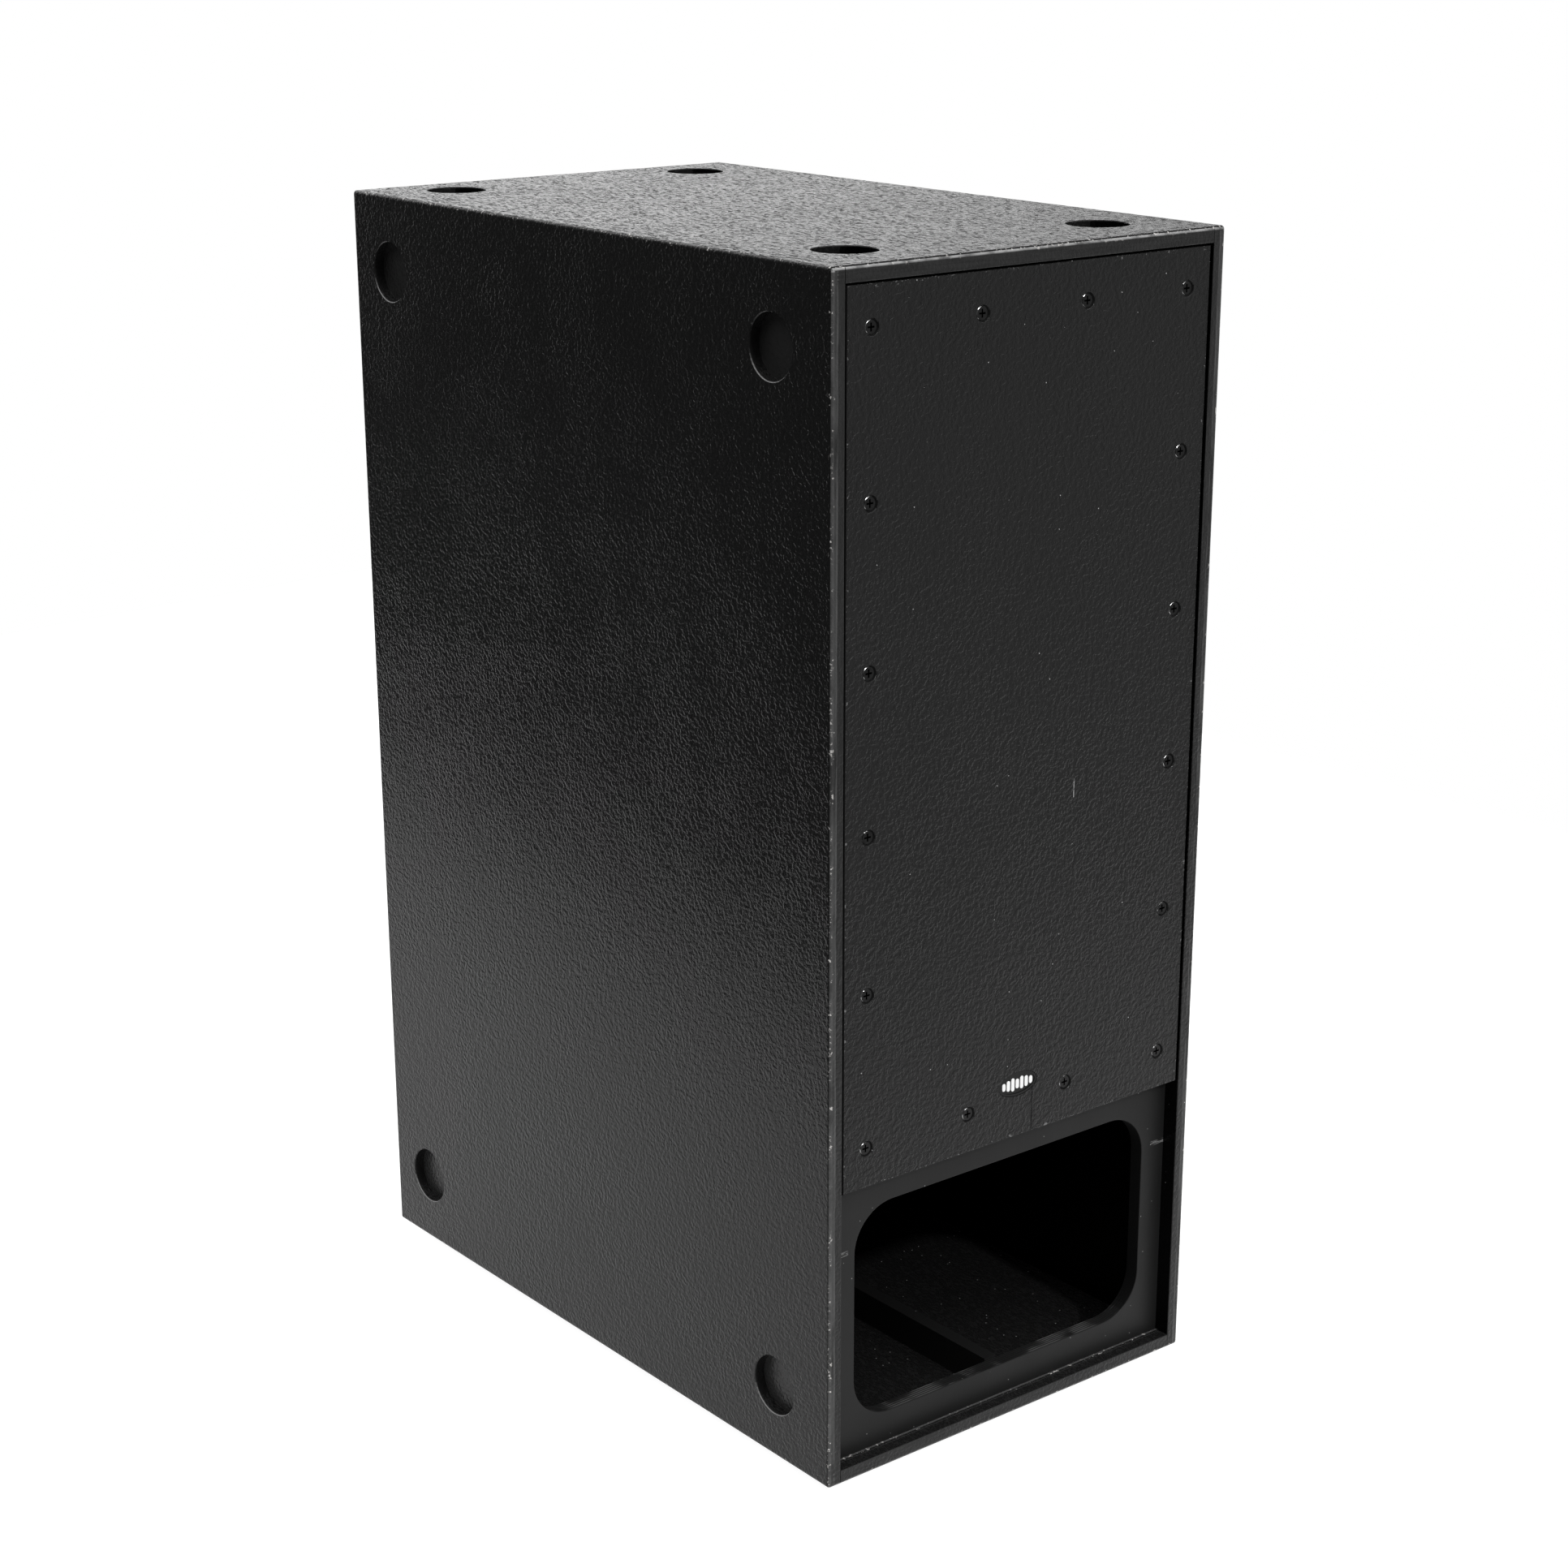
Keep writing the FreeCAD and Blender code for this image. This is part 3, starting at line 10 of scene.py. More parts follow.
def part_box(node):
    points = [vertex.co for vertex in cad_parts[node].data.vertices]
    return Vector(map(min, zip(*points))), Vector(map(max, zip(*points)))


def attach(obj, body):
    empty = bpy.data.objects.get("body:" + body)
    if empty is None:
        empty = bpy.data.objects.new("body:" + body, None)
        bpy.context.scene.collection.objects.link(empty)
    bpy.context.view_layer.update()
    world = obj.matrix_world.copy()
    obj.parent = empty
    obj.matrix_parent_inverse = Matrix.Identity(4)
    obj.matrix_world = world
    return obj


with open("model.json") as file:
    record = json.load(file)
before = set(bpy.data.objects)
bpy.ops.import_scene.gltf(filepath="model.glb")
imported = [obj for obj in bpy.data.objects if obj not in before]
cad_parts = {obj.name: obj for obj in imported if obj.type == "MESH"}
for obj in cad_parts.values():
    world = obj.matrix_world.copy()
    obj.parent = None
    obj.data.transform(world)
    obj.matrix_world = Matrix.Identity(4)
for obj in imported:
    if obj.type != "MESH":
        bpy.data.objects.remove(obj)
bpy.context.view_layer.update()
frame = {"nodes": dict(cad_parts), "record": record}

MM = 0.001
SHELL = ("left_side_panel", "right_side_panel", "top_panel", "bottom_panel", "rear_panel")


def around(names):
    """Lowest and highest corner of several CAD nodes together."""
    boxes = [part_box(name) for name in names]
    low = Vector(min(b[0][i] for b in boxes) for i in range(3))
    high = Vector(max(b[1][i] for b in boxes) for i in range(3))
    return low, high


shell_low, shell_high = around(SHELL)


def on_front(from_left, from_base):
    """A point of the front, from the shell's left face and its base, in metres."""
    return shell_low.x + from_left, shell_low.z + from_base


# ---------------------------------------------------------------- node helpers


class Net:
    """One material's nodes. Each call adds a node and returns its output socket."""

    def __init__(self, name):
        self.material = bpy.data.materials.new(name)
        self.material.use_nodes = True
        self.nodes = self.material.node_tree.nodes
        self.links = self.material.node_tree.links
        self.nodes.clear()
        self.place = self.add("ShaderNodeTexCoord").outputs["Object"]
        self.axes = self.parts(self.place)

    def feed(self, socket, value):
        if isinstance(value, bpy.types.NodeSocket):
            self.links.new(value, socket)
        else:
            socket.default_value = value

    def add(self, kind, inputs=None, **settings):
        node = self.nodes.new(kind)
        for key, value in settings.items():
            setattr(node, key, value)
        for key, value in (inputs or {}).items():
            self.feed(node.inputs[key], value)
        return node

    def parts(self, vector):
        return list(self.add("ShaderNodeSeparateXYZ", {"Vector": vector}).outputs)

    def facing(self):
        """How much the real surface faces along each axis, whichever way round."""
        normal = self.add("ShaderNodeNewGeometry").outputs["True Normal"]
        return [self.math("ABSOLUTE", part) for part in self.parts(normal)]

    def upward(self):
        """How much the real surface faces up; below 0 it faces down."""
        return self.parts(self.add("ShaderNodeNewGeometry").outputs["True Normal"])[2]

    def math(self, operation, *values):
        node = self.add("ShaderNodeMath", operation=operation)
        for socket, value in zip(node.inputs, values):
            self.feed(socket, value)
        return node.outputs[0]

    def total(self, *values):
        result = values[0]
        for value in values[1:]:
            result = self.math("ADD", result, value)
        return result

    def product(self, *values):
        result = values[0]
        for value in values[1:]:
            result = self.math("MULTIPLY", result, value)
        return result

    def highest(self, *values):
        result = values[0]
        for value in values[1:]:
            result = self.math("MAXIMUM", result, value)
        return result

    def step(self, value, start, end, low=0.0, high=1.0):
        """Goes smoothly from low to high as the value goes from start to end."""
        inputs = {"Value": value, "From Min": start, "From Max": end, "To Min": low, "To Max": high}
        return self.add("ShaderNodeMapRange", inputs, interpolation_type="SMOOTHSTEP").outputs[0]

    def mix(self, factor, first, second):
        node = self.add("ShaderNodeMix", data_type="RGBA")
        for index, value in ((0, factor), (6, first), (7, second)):
            self.feed(node.inputs[index], value)
        return node.outputs[2]

    def stretched(self, x, y, z):
        """The place, scaled along each axis."""
        return self.add("ShaderNodeMapping", {"Vector": self.place, "Scale": (x, y, z)}).outputs[0]

    def noise(self, scale, detail=3.0, roughness=0.5, distortion=0.0, place=None):
        inputs = {"Vector": place or self.place, "Scale": scale, "Detail": detail,
                  "Roughness": roughness, "Distortion": distortion}
        return self.add("ShaderNodeTexNoise", inputs).outputs[0]

    def cells(self, scale):
        """Distance to the nearest cell centre, in cells, and a random number for each cell."""
        node = self.add("ShaderNodeTexVoronoi", {"Vector": self.place, "Scale": scale})
        chance = self.add("ShaderNodeSeparateColor", {"Color": node.outputs["Color"]}).outputs[0]
        return node.outputs["Distance"], chance

    def specks(self, spacing, share, radius):
        """Small round specks in a share of the cells of that spacing."""
        distance, chance = self.cells(1 / spacing)
        chosen = self.math("GREATER_THAN", chance, 1 - share)
        return self.product(chosen, self.step(distance, radius / spacing, 0.6 * radius / spacing))

    def bump(self, height, depth, normal=None):
        """Bump from a height of 0 to 1 that stands for a depth in metres."""
        inputs = {"Height": height, "Distance": depth, "Strength": 1.0}
        if normal is not None:
            inputs["Normal"] = normal
        return self.add("ShaderNodeBump", inputs).outputs[0]

    def finish(self, **inputs):
        """Ends the material in a Principled shader with these inputs."""
        shader = self.add("ShaderNodeBsdfPrincipled")
        for key, value in inputs.items():
            self.feed(shader.inputs[key.replace("_", " ")], value)
        output = self.add("ShaderNodeOutputMaterial")
        self.links.new(shader.outputs[0], output.inputs[0])
        return self.material


def grey(level, warmth=0.0):
    return (level * (1 + warmth), level, level * (1 - warmth), 1.0)


def box_gaps(net, low, high):
    """Distance to the nearer of the two outer faces of a box, along each axis."""
    gaps = []
    for axis in range(3):
        above = net.math("SUBTRACT", net.axes[axis], low[axis])
        below = net.math("SUBTRACT", high[axis], net.axes[axis])
        gaps.append(net.math("MINIMUM", above, below))
    return gaps


def edge_distance(net, gaps):
    """For a point on a box's outside: how far it is from the nearest edge."""
    small = net.math("MINIMUM", gaps[0], gaps[1])
    large = net.math("MAXIMUM", gaps[0], gaps[1])
    return net.math("MAXIMUM", small, net.math("MINIMUM", large, gaps[2]))


def edge_chips(net, edge):
    """Fine chips knocked out of an edge, and a few larger ones."""
    patchy = net.step(net.noise(30.0, 4.0, 0.6), 0.38, 0.60)
    fine = net.step(net.noise(420.0, 2.0, 0.6), 0.60, 0.66)
    fine = net.product(net.step(edge, 2.6 * MM, 1.2 * MM), fine, patchy)
    large = net.step(net.noise(170.0, 3.0, 0.6), 0.64, 0.68)
    large = net.product(net.step(edge, 4.5 * MM, 2.0 * MM), large)
    return net.highest(fine, large)


def band(net, value, middle, half):
    """1 where the value is within half of the middle, fading out over as much again."""
    away = net.math("ABSOLUTE", net.math("SUBTRACT", value, middle))
    return net.step(away, 1.5 * half, 0.5 * half)


def stroke(net, centre, half, fade):
    """A mark on a front face: 1 inside a box of those half sizes across and up, fading outside it."""
    mask = 1.0
    for axis, middle, size in ((net.axes[0], centre[0], half[0]), (net.axes[2], centre[1], half[1])):
        away = net.math("ABSOLUTE", net.math("SUBTRACT", axis, middle))
        mask = net.product(mask, net.step(away, size + fade, size))
    return mask


# ---------------------------------------------------------------- paints

SATIN = 0.160  # specular level of water-based black paint
PAINTED_SHADE_GREY = 0.0005  # painted shade: near-black grey painted on faces that lie in deep shadow in the horn, the gaps and the cover's sunk faces; the cover's crack uses it too
CHIPPED = 0.45  # grey level of bare wood and filler in a chip
PLY = 15 * MM
FRONT_HALF = 7 * MM  # width of the outer half of the shell's front edge
CUP_FLOOR = 12 * MM  # depth of the cups


def leather(net, upward):
    """Height of the rolled texture: fine worm-like bumps, drawn out along Y on faces that lie flat."""
    patches = net.step(net.noise(14.0, 2.0), 0.40, 0.62, 0.8, 1.0)
    worms = net.step(net.noise(270.0, 2.0, 0.5, 0.3), 0.34, 0.66)
    rolled = net.noise(1.0, 3.0, 0.6, 0.3, net.stretched(400.0, 150.0, 400.0))
    rolled = net.step(rolled, 0.34, 0.66, 0.0, 3.0)
    flat = net.step(upward, 0.6, 0.9)
    worms = net.product(worms, net.math("SUBTRACT", 1.0, flat))
    worms = net.total(worms, net.product(rolled, flat))
    grain = net.noise(700.0, 2.0, 0.6)
    return net.total(net.product(worms, patches), net.product(grain, 0.12))


def shell_paint():
    """Textured black paint of the shell, worn at its edges, smooth inside. Painted shade darkens the
    inner side faces and the upward rounded edges; painted highlights lighten the cup rims and the
    sides' top edges, and partly the front's corners.
    """
    net = Net("textured_black_paint")
    gaps = box_gaps(net, shell_low, shell_high)
    facing = net.facing()
    depth = net.math("MINIMUM", net.math("MINIMUM", gaps[0], gaps[1]), gaps[2])
    inside = net.step(depth, PLY - 1.8 * MM, PLY - 1.2 * MM)
    # painted shade: faces turned sideways deeper than a ply's thickness, such as the side walls' inner
    # faces, are painted near-black
    inner_wall_painted_shade = net.step(gaps[0], PLY - 1.8 * MM, PLY - 1.2 * MM)
    inner_wall_painted_shade = net.product(net.step(facing[0], 0.4, 0.6), inner_wall_painted_shade)
    edge = edge_distance(net, gaps)
    chips = edge_chips(net, edge)
    front = net.product(net.step(facing[1], 0.45, 0.65), net.math("LESS_THAN", gaps[1], 2 * MM))
    below_top = net.math("SUBTRACT", shell_high.z, net.axes[2])
    upright = net.upward()
    across = net.noise(1.0, 3.0, 0.6, 0.0, net.stretched(25.0, 500.0, 500.0))
    along = net.noise(1.0, 3.0, 0.6, 0.0, net.stretched(500.0, 500.0, 25.0))
    ends = net.math("LESS_THAN", gaps[2], PLY)
    grain = net.product(along, net.math("SUBTRACT", 1.0, ends))
    grain = net.total(net.product(across, ends), grain)
    broken = net.step(grain, 0.38, 0.60)
    # painted shade: upward-facing rounded edges at the front and back are painted darker and matt
    rolled_edge_painted_shade = net.product(net.step(upright, 0.60, 0.75), net.step(upright, 0.985, 0.96))
    rolled_edge_painted_shade = net.product(rolled_edge_painted_shade, net.step(gaps[1], 4 * MM, 3 * MM))
    # painted highlight: the rounded top edges of the sides are painted lighter
    side_round_painted_highlight = net.product(band(net, facing[0], 0.75, 0.2), net.step(below_top, 4 * MM, 3 * MM))
    worn = net.step(net.noise(9.0, 3.0, 0.6), 0.40, 0.58)
    # partly wear, partly painted highlight: a lighter line along the front's corners, broken by noise
    # and faint at the top
    corner_wear_and_highlight = net.product(front, net.step(upright, 0.75, 0.60), net.step(edge, 3.8 * MM, 2.4 * MM))
    corner_wear_and_highlight = net.product(corner_wear_and_highlight, net.step(net.noise(60.0, 3.0), 0.30, 0.60, 0.25, 1.0))
    corner_wear_and_highlight = net.product(corner_wear_and_highlight, net.step(below_top, 5 * MM, 4 * MM, 0.14, 1.0))
    inner_line = net.product(front, band(net, gaps[0], 6.6 * MM, 0.7 * MM), broken)
    between = net.product(front, net.math("LESS_THAN", gaps[0], FRONT_HALF), worn)
    face_wear = net.product(front, net.total(net.product(broken, 0.6), 0.4))
    board_face = shell_low.y + 16 * MM
    ledge = net.step(net.axes[1], board_face + 3 * MM, board_face)
    ledge = net.product(net.step(facing[2], 0.6, 0.8), ledge)
    ledge_line = net.product(ledge, net.step(net.axes[1], board_face - 2 * MM, board_face), inside)
    ledge_specks = net.product(ledge, inside, net.step(net.noise(260.0, 3.0, 0.6), 0.60, 0.66))
    # painted highlight: the upward-tilted bevels on the rims of the side cups are painted lighter
    cup_rim_painted_highlight = net.product(band(net, facing[0], 0.7, 0.15), net.math("LESS_THAN", gaps[0], 1 * MM))
    cup_rim_painted_highlight = net.product(cup_rim_painted_highlight, net.step(upright, 0.1, 0.5), net.step(below_top, 10 * MM, 12 * MM))
    height = net.product(leather(net, upright), net.step(inside, 0.0, 1.0, 1.0, 0.25))
    dust = net.specks(7 * MM, 0.02, 0.7 * MM)
    floor_dust = net.product(inside, net.specks(4 * MM, 0.04, 0.7 * MM))
    cup_floor = net.step(depth, CUP_FLOOR + 1.0 * MM, CUP_FLOOR + 0.6 * MM)
    cup_floor = net.product(net.step(depth, CUP_FLOOR - 0.8 * MM, CUP_FLOOR - 0.4 * MM), cup_floor)
    cup_dust = net.product(cup_floor, net.specks(3 * MM, 0.10, 0.5 * MM))
    tone = net.mix(net.noise(5.0, 3.0), grey(0.0075), grey(0.009))
    tone = net.mix(cup_floor, tone, grey(0.022))
    tone = net.mix(face_wear, tone, grey(0.017))
    tone = net.mix(net.product(between, 0.35), tone, grey(0.09))
    tone = net.mix(net.product(inner_line, 0.6), tone, grey(0.08))
    tone = net.mix(corner_wear_and_highlight, tone, grey(0.28))
    tone = net.mix(cup_rim_painted_highlight, tone, grey(0.14))
    tone = net.mix(net.product(side_round_painted_highlight, 0.5), tone, grey(0.03))
    tone = net.mix(rolled_edge_painted_shade, tone, grey(0.004))
    tone = net.mix(inner_wall_painted_shade, tone, grey(PAINTED_SHADE_GREY))
    tone = net.mix(net.highest(dust, floor_dust, cup_dust), tone, grey(0.40))
    tone = net.mix(net.product(ledge_line, 0.5), tone, grey(0.12))
    tone = net.mix(net.highest(chips, ledge_specks), tone, grey(CHIPPED, 0.03))
    pits = net.noise(1.0, 2.0, 0.6, 0.2, net.stretched(460.0, 150.0, 460.0))
    pits = net.product(net.step(upright, 0.6, 0.9), net.step(pits, 0.50, 0.58))
    roughness = net.step(net.noise(3.5, 2.0), 0.35, 0.65, 0.15, 0.19)
    roughness = net.highest(roughness, net.product(pits, 0.72), rolled_edge_painted_shade)
    return net.finish(Base_Color=tone, Roughness=roughness, Specular_IOR_Level=SATIN,
                      Normal=net.bump(height, 0.27 * MM))


def cover_paint():
    """Textured black paint of the cover, with dust, one scratch and a crack under the badge; painted
    shade makes its left edge and its sunk faces near-black.
    """
    low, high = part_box("cover_panel")
    net = Net("cover_black_paint")
    chips = edge_chips(net, edge_distance(net, box_gaps(net, low, high)))
    # painted shade: the cover's left edge is painted near-black like the gap beside it
    left_edge_painted_shade = net.step(net.axes[0], low.x + 1.6 * MM, low.x + 1.0 * MM)
    # sunk faces behind the cover's front, round the screws and at its edges; they are painted
    # near-black below as painted shade
    sunk = net.step(net.axes[1], low.y + 0.3 * MM, low.y + 0.9 * MM)
    dust = net.specks(7 * MM, 0.04, 0.65 * MM)
    scratch = stroke(net, on_front(0.298, 0.640), (0.25 * MM, 9 * MM), 0.25 * MM)
    scratch = net.product(scratch, net.step(net.noise(160.0), 0.38, 0.5))
    badge_low, badge_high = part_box("badge")
    crack_middle = (badge_high.x - 6 * MM, (low.z + badge_low.z) / 2)
    crack = stroke(net, crack_middle, (0.45 * MM, (badge_low.z - low.z) / 2 + 6 * MM), 0.25 * MM)
    # the crack, and painted shade on the left edge and the sunk faces
    black = net.highest(crack, sunk, left_edge_painted_shade)
    tone = net.mix(net.noise(6.0, 3.0), grey(0.007), grey(0.0085))
    tone = net.mix(dust, tone, grey(0.42))
    tone = net.mix(scratch, tone, grey(0.35))
    tone = net.mix(net.product(chips, 0.4), tone, grey(0.30))
    tone = net.mix(black, tone, grey(PAINTED_SHADE_GREY))
    height = net.product(leather(net, 0.0), net.step(sunk, 0.0, 1.0, 1.0, 0.2))
    height = net.math("SUBTRACT", height, net.product(crack, 1.5))
    roughness = net.step(net.noise(4.0, 2.0), 0.35, 0.65, 0.20, 0.24)
    roughness = net.highest(roughness, net.product(black, 0.85))
    return net.finish(Base_Color=tone, Roughness=roughness, Specular_IOR_Level=SATIN,
                      Normal=net.bump(height, 0.40 * MM))


def board_paint():
    """Smooth black paint of the horn's boards; the front board's mouth shows its plies, and painted
    shade makes its upright rims near-black.
    """
    low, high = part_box("front_board")
    net = Net("smooth_black_paint")
    facing = net.facing()
    rim = net.step(facing[1], 0.7, 0.4)
    within = net.product(net.math("GREATER_THAN", net.axes[1], low.y),
                         net.math("LESS_THAN", net.axes[1], high.y))
    ply = (high.y - low.y) / 5
    wobble = net.product(net.noise(25.0, 2.0), 0.6)
    wave = net.math("SINE", net.total(net.product(net.axes[1], 2 * math.pi / ply), wobble))
    lines = net.product(rim, within, net.step(facing[2], 0.4, 0.7), net.step(wave, 0.2, 0.9))
    # painted shade: the upright rims of the board's openings are painted near-black
    upright_rim_painted_shade = net.product(rim, within, net.step(facing[0], 0.4, 0.7))
    brush = net.noise(1.0, 3.0, 0.6, 0.2, net.stretched(260.0, 260.0, 30.0))
    height = net.total(net.product(brush, 0.4), net.product(net.noise(420.0, 2.0), 0.35),
                       net.product(lines, 0.9))
    scuffs = [stroke(net, on_front(left, 0.230), (size * MM, 1.2 * MM), 2 * MM)
              for left, size in ((0.029, 7), (0.447, 9))]
    streaks = net.noise(1.0, 3.0, 0.6, 0, net.stretched(60, 60, 900))
    scuff = net.product(net.highest(*scuffs), net.step(streaks, 0.48, 0.6))
    dust = net.specks(5 * MM, 0.06, 0.6 * MM)
    worn = net.product(lines, net.step(net.noise(30.0, 3.0), 0.42, 0.6))
    tone = net.mix(net.noise(7.0, 3.0), grey(0.007), grey(0.010))
    tone = net.mix(net.product(worn, 0.8), tone, grey(0.14))
    tone = net.mix(dust, tone, grey(0.28))
    tone = net.mix(net.product(scuff, 0.7), tone, grey(0.30))
    tone = net.mix(upright_rim_painted_shade, tone, grey(PAINTED_SHADE_GREY))
    roughness = net.step(net.noise(12.0), 0.3, 0.7, 0.40, 0.50)
    roughness = net.highest(roughness, net.product(upright_rim_painted_shade, 0.8))
    return net.finish(Base_Color=tone, Roughness=roughness, Specular_IOR_Level=SATIN,
                      Normal=net.bump(height, 0.15 * MM))


def plywood():
    """Bare birch plywood: long pale grain on the faces, dark and light plies on the edges."""
    net = Net("bare_birch_ply")
    grain = net.noise(1.0, 4.0, 0.6, 0.5, net.stretched(140.0, 6.0, 140.0))
    flecks = net.step(net.noise(1.0, 2.0, 0.5, 0.0, net.stretched(900.0, 60.0, 900.0)), 0.55, 0.7)
    plies = net.math("SINE", net.product(net.axes[2], 2 * math.pi / (PLY / 11)))
    tone = net.mix(grain, (0.50, 0.36, 0.21, 1), (0.66, 0.51, 0.33, 1))
    tone = net.mix(net.product(flecks, 0.4), tone, (0.36, 0.23, 0.12, 1))
    tone = net.mix(net.step(plies, 0.1, 0.9, 0.0, 0.25), tone, (0.30, 0.19, 0.10, 1))
    return net.finish(Base_Color=tone, Roughness=net.step(grain, 0.2, 0.8, 0.55, 0.7),
                      Normal=net.bump(grain, 0.15 * MM))


# ---------------------------------------------------------------- metals, plastics, rubber


def powder(name, level, grain, rough, depth):
    """Black powder coat or moulded plastic: an even fine grain."""
    net = Net(name)
    texture = net.noise(1 / grain, 3.0, 0.6)
    tone = net.mix(net.noise(30.0, 3.0), grey(level * 0.8), grey(level * 1.25))
    dust = net.specks(6 * MM, 0.03, 0.5 * MM)
    tone = net.mix(dust, tone, grey(0.25))
    roughness = net.step(net.noise(22.0, 3.0), 0.3, 0.7, rough - 0.06, rough + 0.08)
    return net.finish(Base_Color=tone, Roughness=roughness, Normal=net.bump(texture, depth))


def plated(name, level, warmth, rough):
    """Zinc-plated steel: cloudy plating with fine scratches."""
    net = Net(name)
    clouds = net.noise(180.0, 4.0, 0.6)
    scratches = net.noise(1.0, 2.0, 0.5, 0.0, net.stretched(300.0, 2500.0, 2500.0))
    scratches = net.step(scratches, 0.6, 0.75)
    tone = net.mix(clouds, grey(level * 0.75, warmth), grey(level * 1.2, warmth * 0.5))
    roughness = net.step(clouds, 0.3, 0.7, rough - 0.07, rough + 0.09)
    roughness = net.total(roughness, net.product(scratches, 0.12))
    return net.finish(Base_Color=tone, Metallic=1.0, Roughness=roughness,
                      Normal=net.bump(clouds, 0.03 * MM))


def cover_screw_zinc():
    """Black-passivated zinc of the cover's screws, brighter on the bevel round each head, with painted
    shade in the cross recess.
    """
    net = Net("black_passivated_zinc")
    clouds = net.noise(260.0, 3.0, 0.6)
    # brighter metal on the bevel round each head
    bright_bevel = net.product(band(net, net.facing()[1], 0.7, 0.2), net.step(clouds, 0.40, 0.55))
    bevel_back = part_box("cover_screws")[0].y + 0.45 * MM
    shown = net.math("LESS_THAN", net.axes[1], bevel_back)
    # painted shade: the cross recess behind the head's face is painted near-black
    cross_recess_painted_shade = net.step(net.axes[1], bevel_back, bevel_back + 0.25 * MM)
    tone = net.mix(clouds, grey(0.012), grey(0.030))
    tone = net.mix(cross_recess_painted_shade, tone, grey(0.001))
    tone = net.mix(net.product(bright_bevel, shown), tone, grey(0.40))
    return net.finish(Base_Color=tone, Metallic=1.0, Roughness=net.step(clouds, 0.3, 0.7, 0.16, 0.28),
                      Normal=net.bump(clouds, 0.03 * MM))


def turned(name, level, pitch):
    """Turned steel: fine rings round each driver's axis."""
    net = Net(name)
    radii = []
    for cone in ("lower_driver_cone", "upper_driver_cone"):
        low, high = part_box(cone)
        middle = (low + high) / 2
        across = net.math("SUBTRACT", net.axes[0], middle.x)
        up = net.math("SUBTRACT", net.axes[2], middle.z)
        radii.append(net.math("SQRT", net.total(net.product(across, across), net.product(up, up))))
    radius = net.math("MINIMUM", *radii)
    rings = net.math("SINE", net.total(net.product(radius, 2 * math.pi / pitch), net.noise(60.0)))
    clouds = net.noise(90.0, 3.0)
    tone = net.mix(clouds, grey(level * 0.85), grey(level * 1.1))
    return net.finish(Base_Color=tone, Metallic=1.0, Roughness=net.step(clouds, 0.3, 0.7, 0.28, 0.4),
                      Normal=net.bump(rings, 0.01 * MM))


def foam():
    """Closed-cell foam: small dark cells."""
    net = Net("closed_cell_foam")
    distance, chance = net.cells(1100.0)
    tone = net.mix(chance, grey(0.012), grey(0.028))
    return net.finish(Base_Color=tone, Roughness=net.step(chance, 0.0, 1.0, 0.8, 0.95),
                      Normal=net.bump(distance, 0.3 * MM))


def enamel(name, level, rough, shine=0.5):
    """Glossy enamel with a faint orange peel and hairline scratches."""
    net = Net(name)
    peel = net.noise(900.0, 2.0)
    scratches = net.noise(1.0, 2.0, 0.5, 0.4, net.stretched(500.0, 500.0, 3500.0))
    scratches = net.step(scratches, 0.62, 0.7)
    tone = net.mix(net.noise(120.0, 3.0), grey(level * 0.92), grey(level * 1.06))
    roughness = net.step(peel, 0.3, 0.7, rough, rough + 0.05)
    roughness = net.total(net.product(scratches, 0.25), roughness)
    return net.finish(Base_Color=tone, Roughness=roughness, Specular_IOR_Level=shine,
                      Normal=net.bump(peel, 0.02 * MM))


def rubber(name, level, rough):
    """Moulded black rubber, a little dusty, with a fine matt grain."""
    net = Net(name)
    grain = net.noise(1500.0, 2.0, 0.6)
    bloom = net.step(net.noise(45.0, 4.0, 0.6), 0.45, 0.7)
    tone = net.mix(net.product(bloom, 0.5), grey(level), grey(level * 2.2))
    return net.finish(Base_Color=tone, Roughness=net.step(bloom, 0.0, 1.0, rough, rough + 0.12),
                      Normal=net.bump(grain, 0.05 * MM))


def paper():
    """Doped black paper: pressed fibres under a thin sealant."""
    net = Net("doped_paper_cone")
    fibres = net.noise(1.0, 4.0, 0.7, 1.5, net.stretched(700.0, 700.0, 700.0))
    streaks = net.noise(260.0, 4.0, 0.7, 2.0)
    tone = net.mix(net.step(streaks, 0.4, 0.7), grey(0.016), grey(0.040, 0.02))
    return net.finish(Base_Color=tone, Roughness=net.step(fibres, 0.3, 0.7, 0.6, 0.8),
                      Normal=net.bump(net.total(fibres, net.product(streaks, 0.6)), 0.12 * MM))


def cloth():
    """Doped cotton of the surround and spider: a fine plain weave."""
    net = Net("doped_cloth")
    thread = 2 * math.pi / (0.9 * MM)
    across = net.math("SINE", net.product(net.axes[0], thread))
    up = net.math("SINE", net.product(net.axes[2], thread))
    weave = net.math("ABSOLUTE", net.product(across, up))
    # painted shade: the gaps between threads are painted darker than where they cross
    tone = net.mix(weave, (0.030, 0.022, 0.015, 1), (0.075, 0.055, 0.036, 1))
    soaked = net.step(net.noise(35.0, 3.0), 0.45, 0.65, 0.0, 0.5)
    tone = net.mix(soaked, tone, (0.020, 0.016, 0.012, 1))
    return net.finish(Base_Color=tone, Roughness=net.step(weave, 0.0, 1.0, 0.62, 0.78),
                      Normal=net.bump(weave, 0.08 * MM))


def winding():
    """Voice coil: turns of enamelled copper wire on a brown former."""
    net = Net("copper_winding")
    turns = net.math("ABSOLUTE", net.math("SINE", net.product(net.axes[1], math.pi / (0.45 * MM))))
    # painted shade: the grooves between turns are painted darker than the turns' crests
    tone = net.mix(turns, (0.22, 0.08, 0.03, 1), (0.75, 0.35, 0.16, 1))
    return net.finish(Base_Color=tone, Metallic=0.8, Roughness=net.step(turns, 0.0, 1.0, 0.45, 0.3),
                      Normal=net.bump(turns, 0.15 * MM))


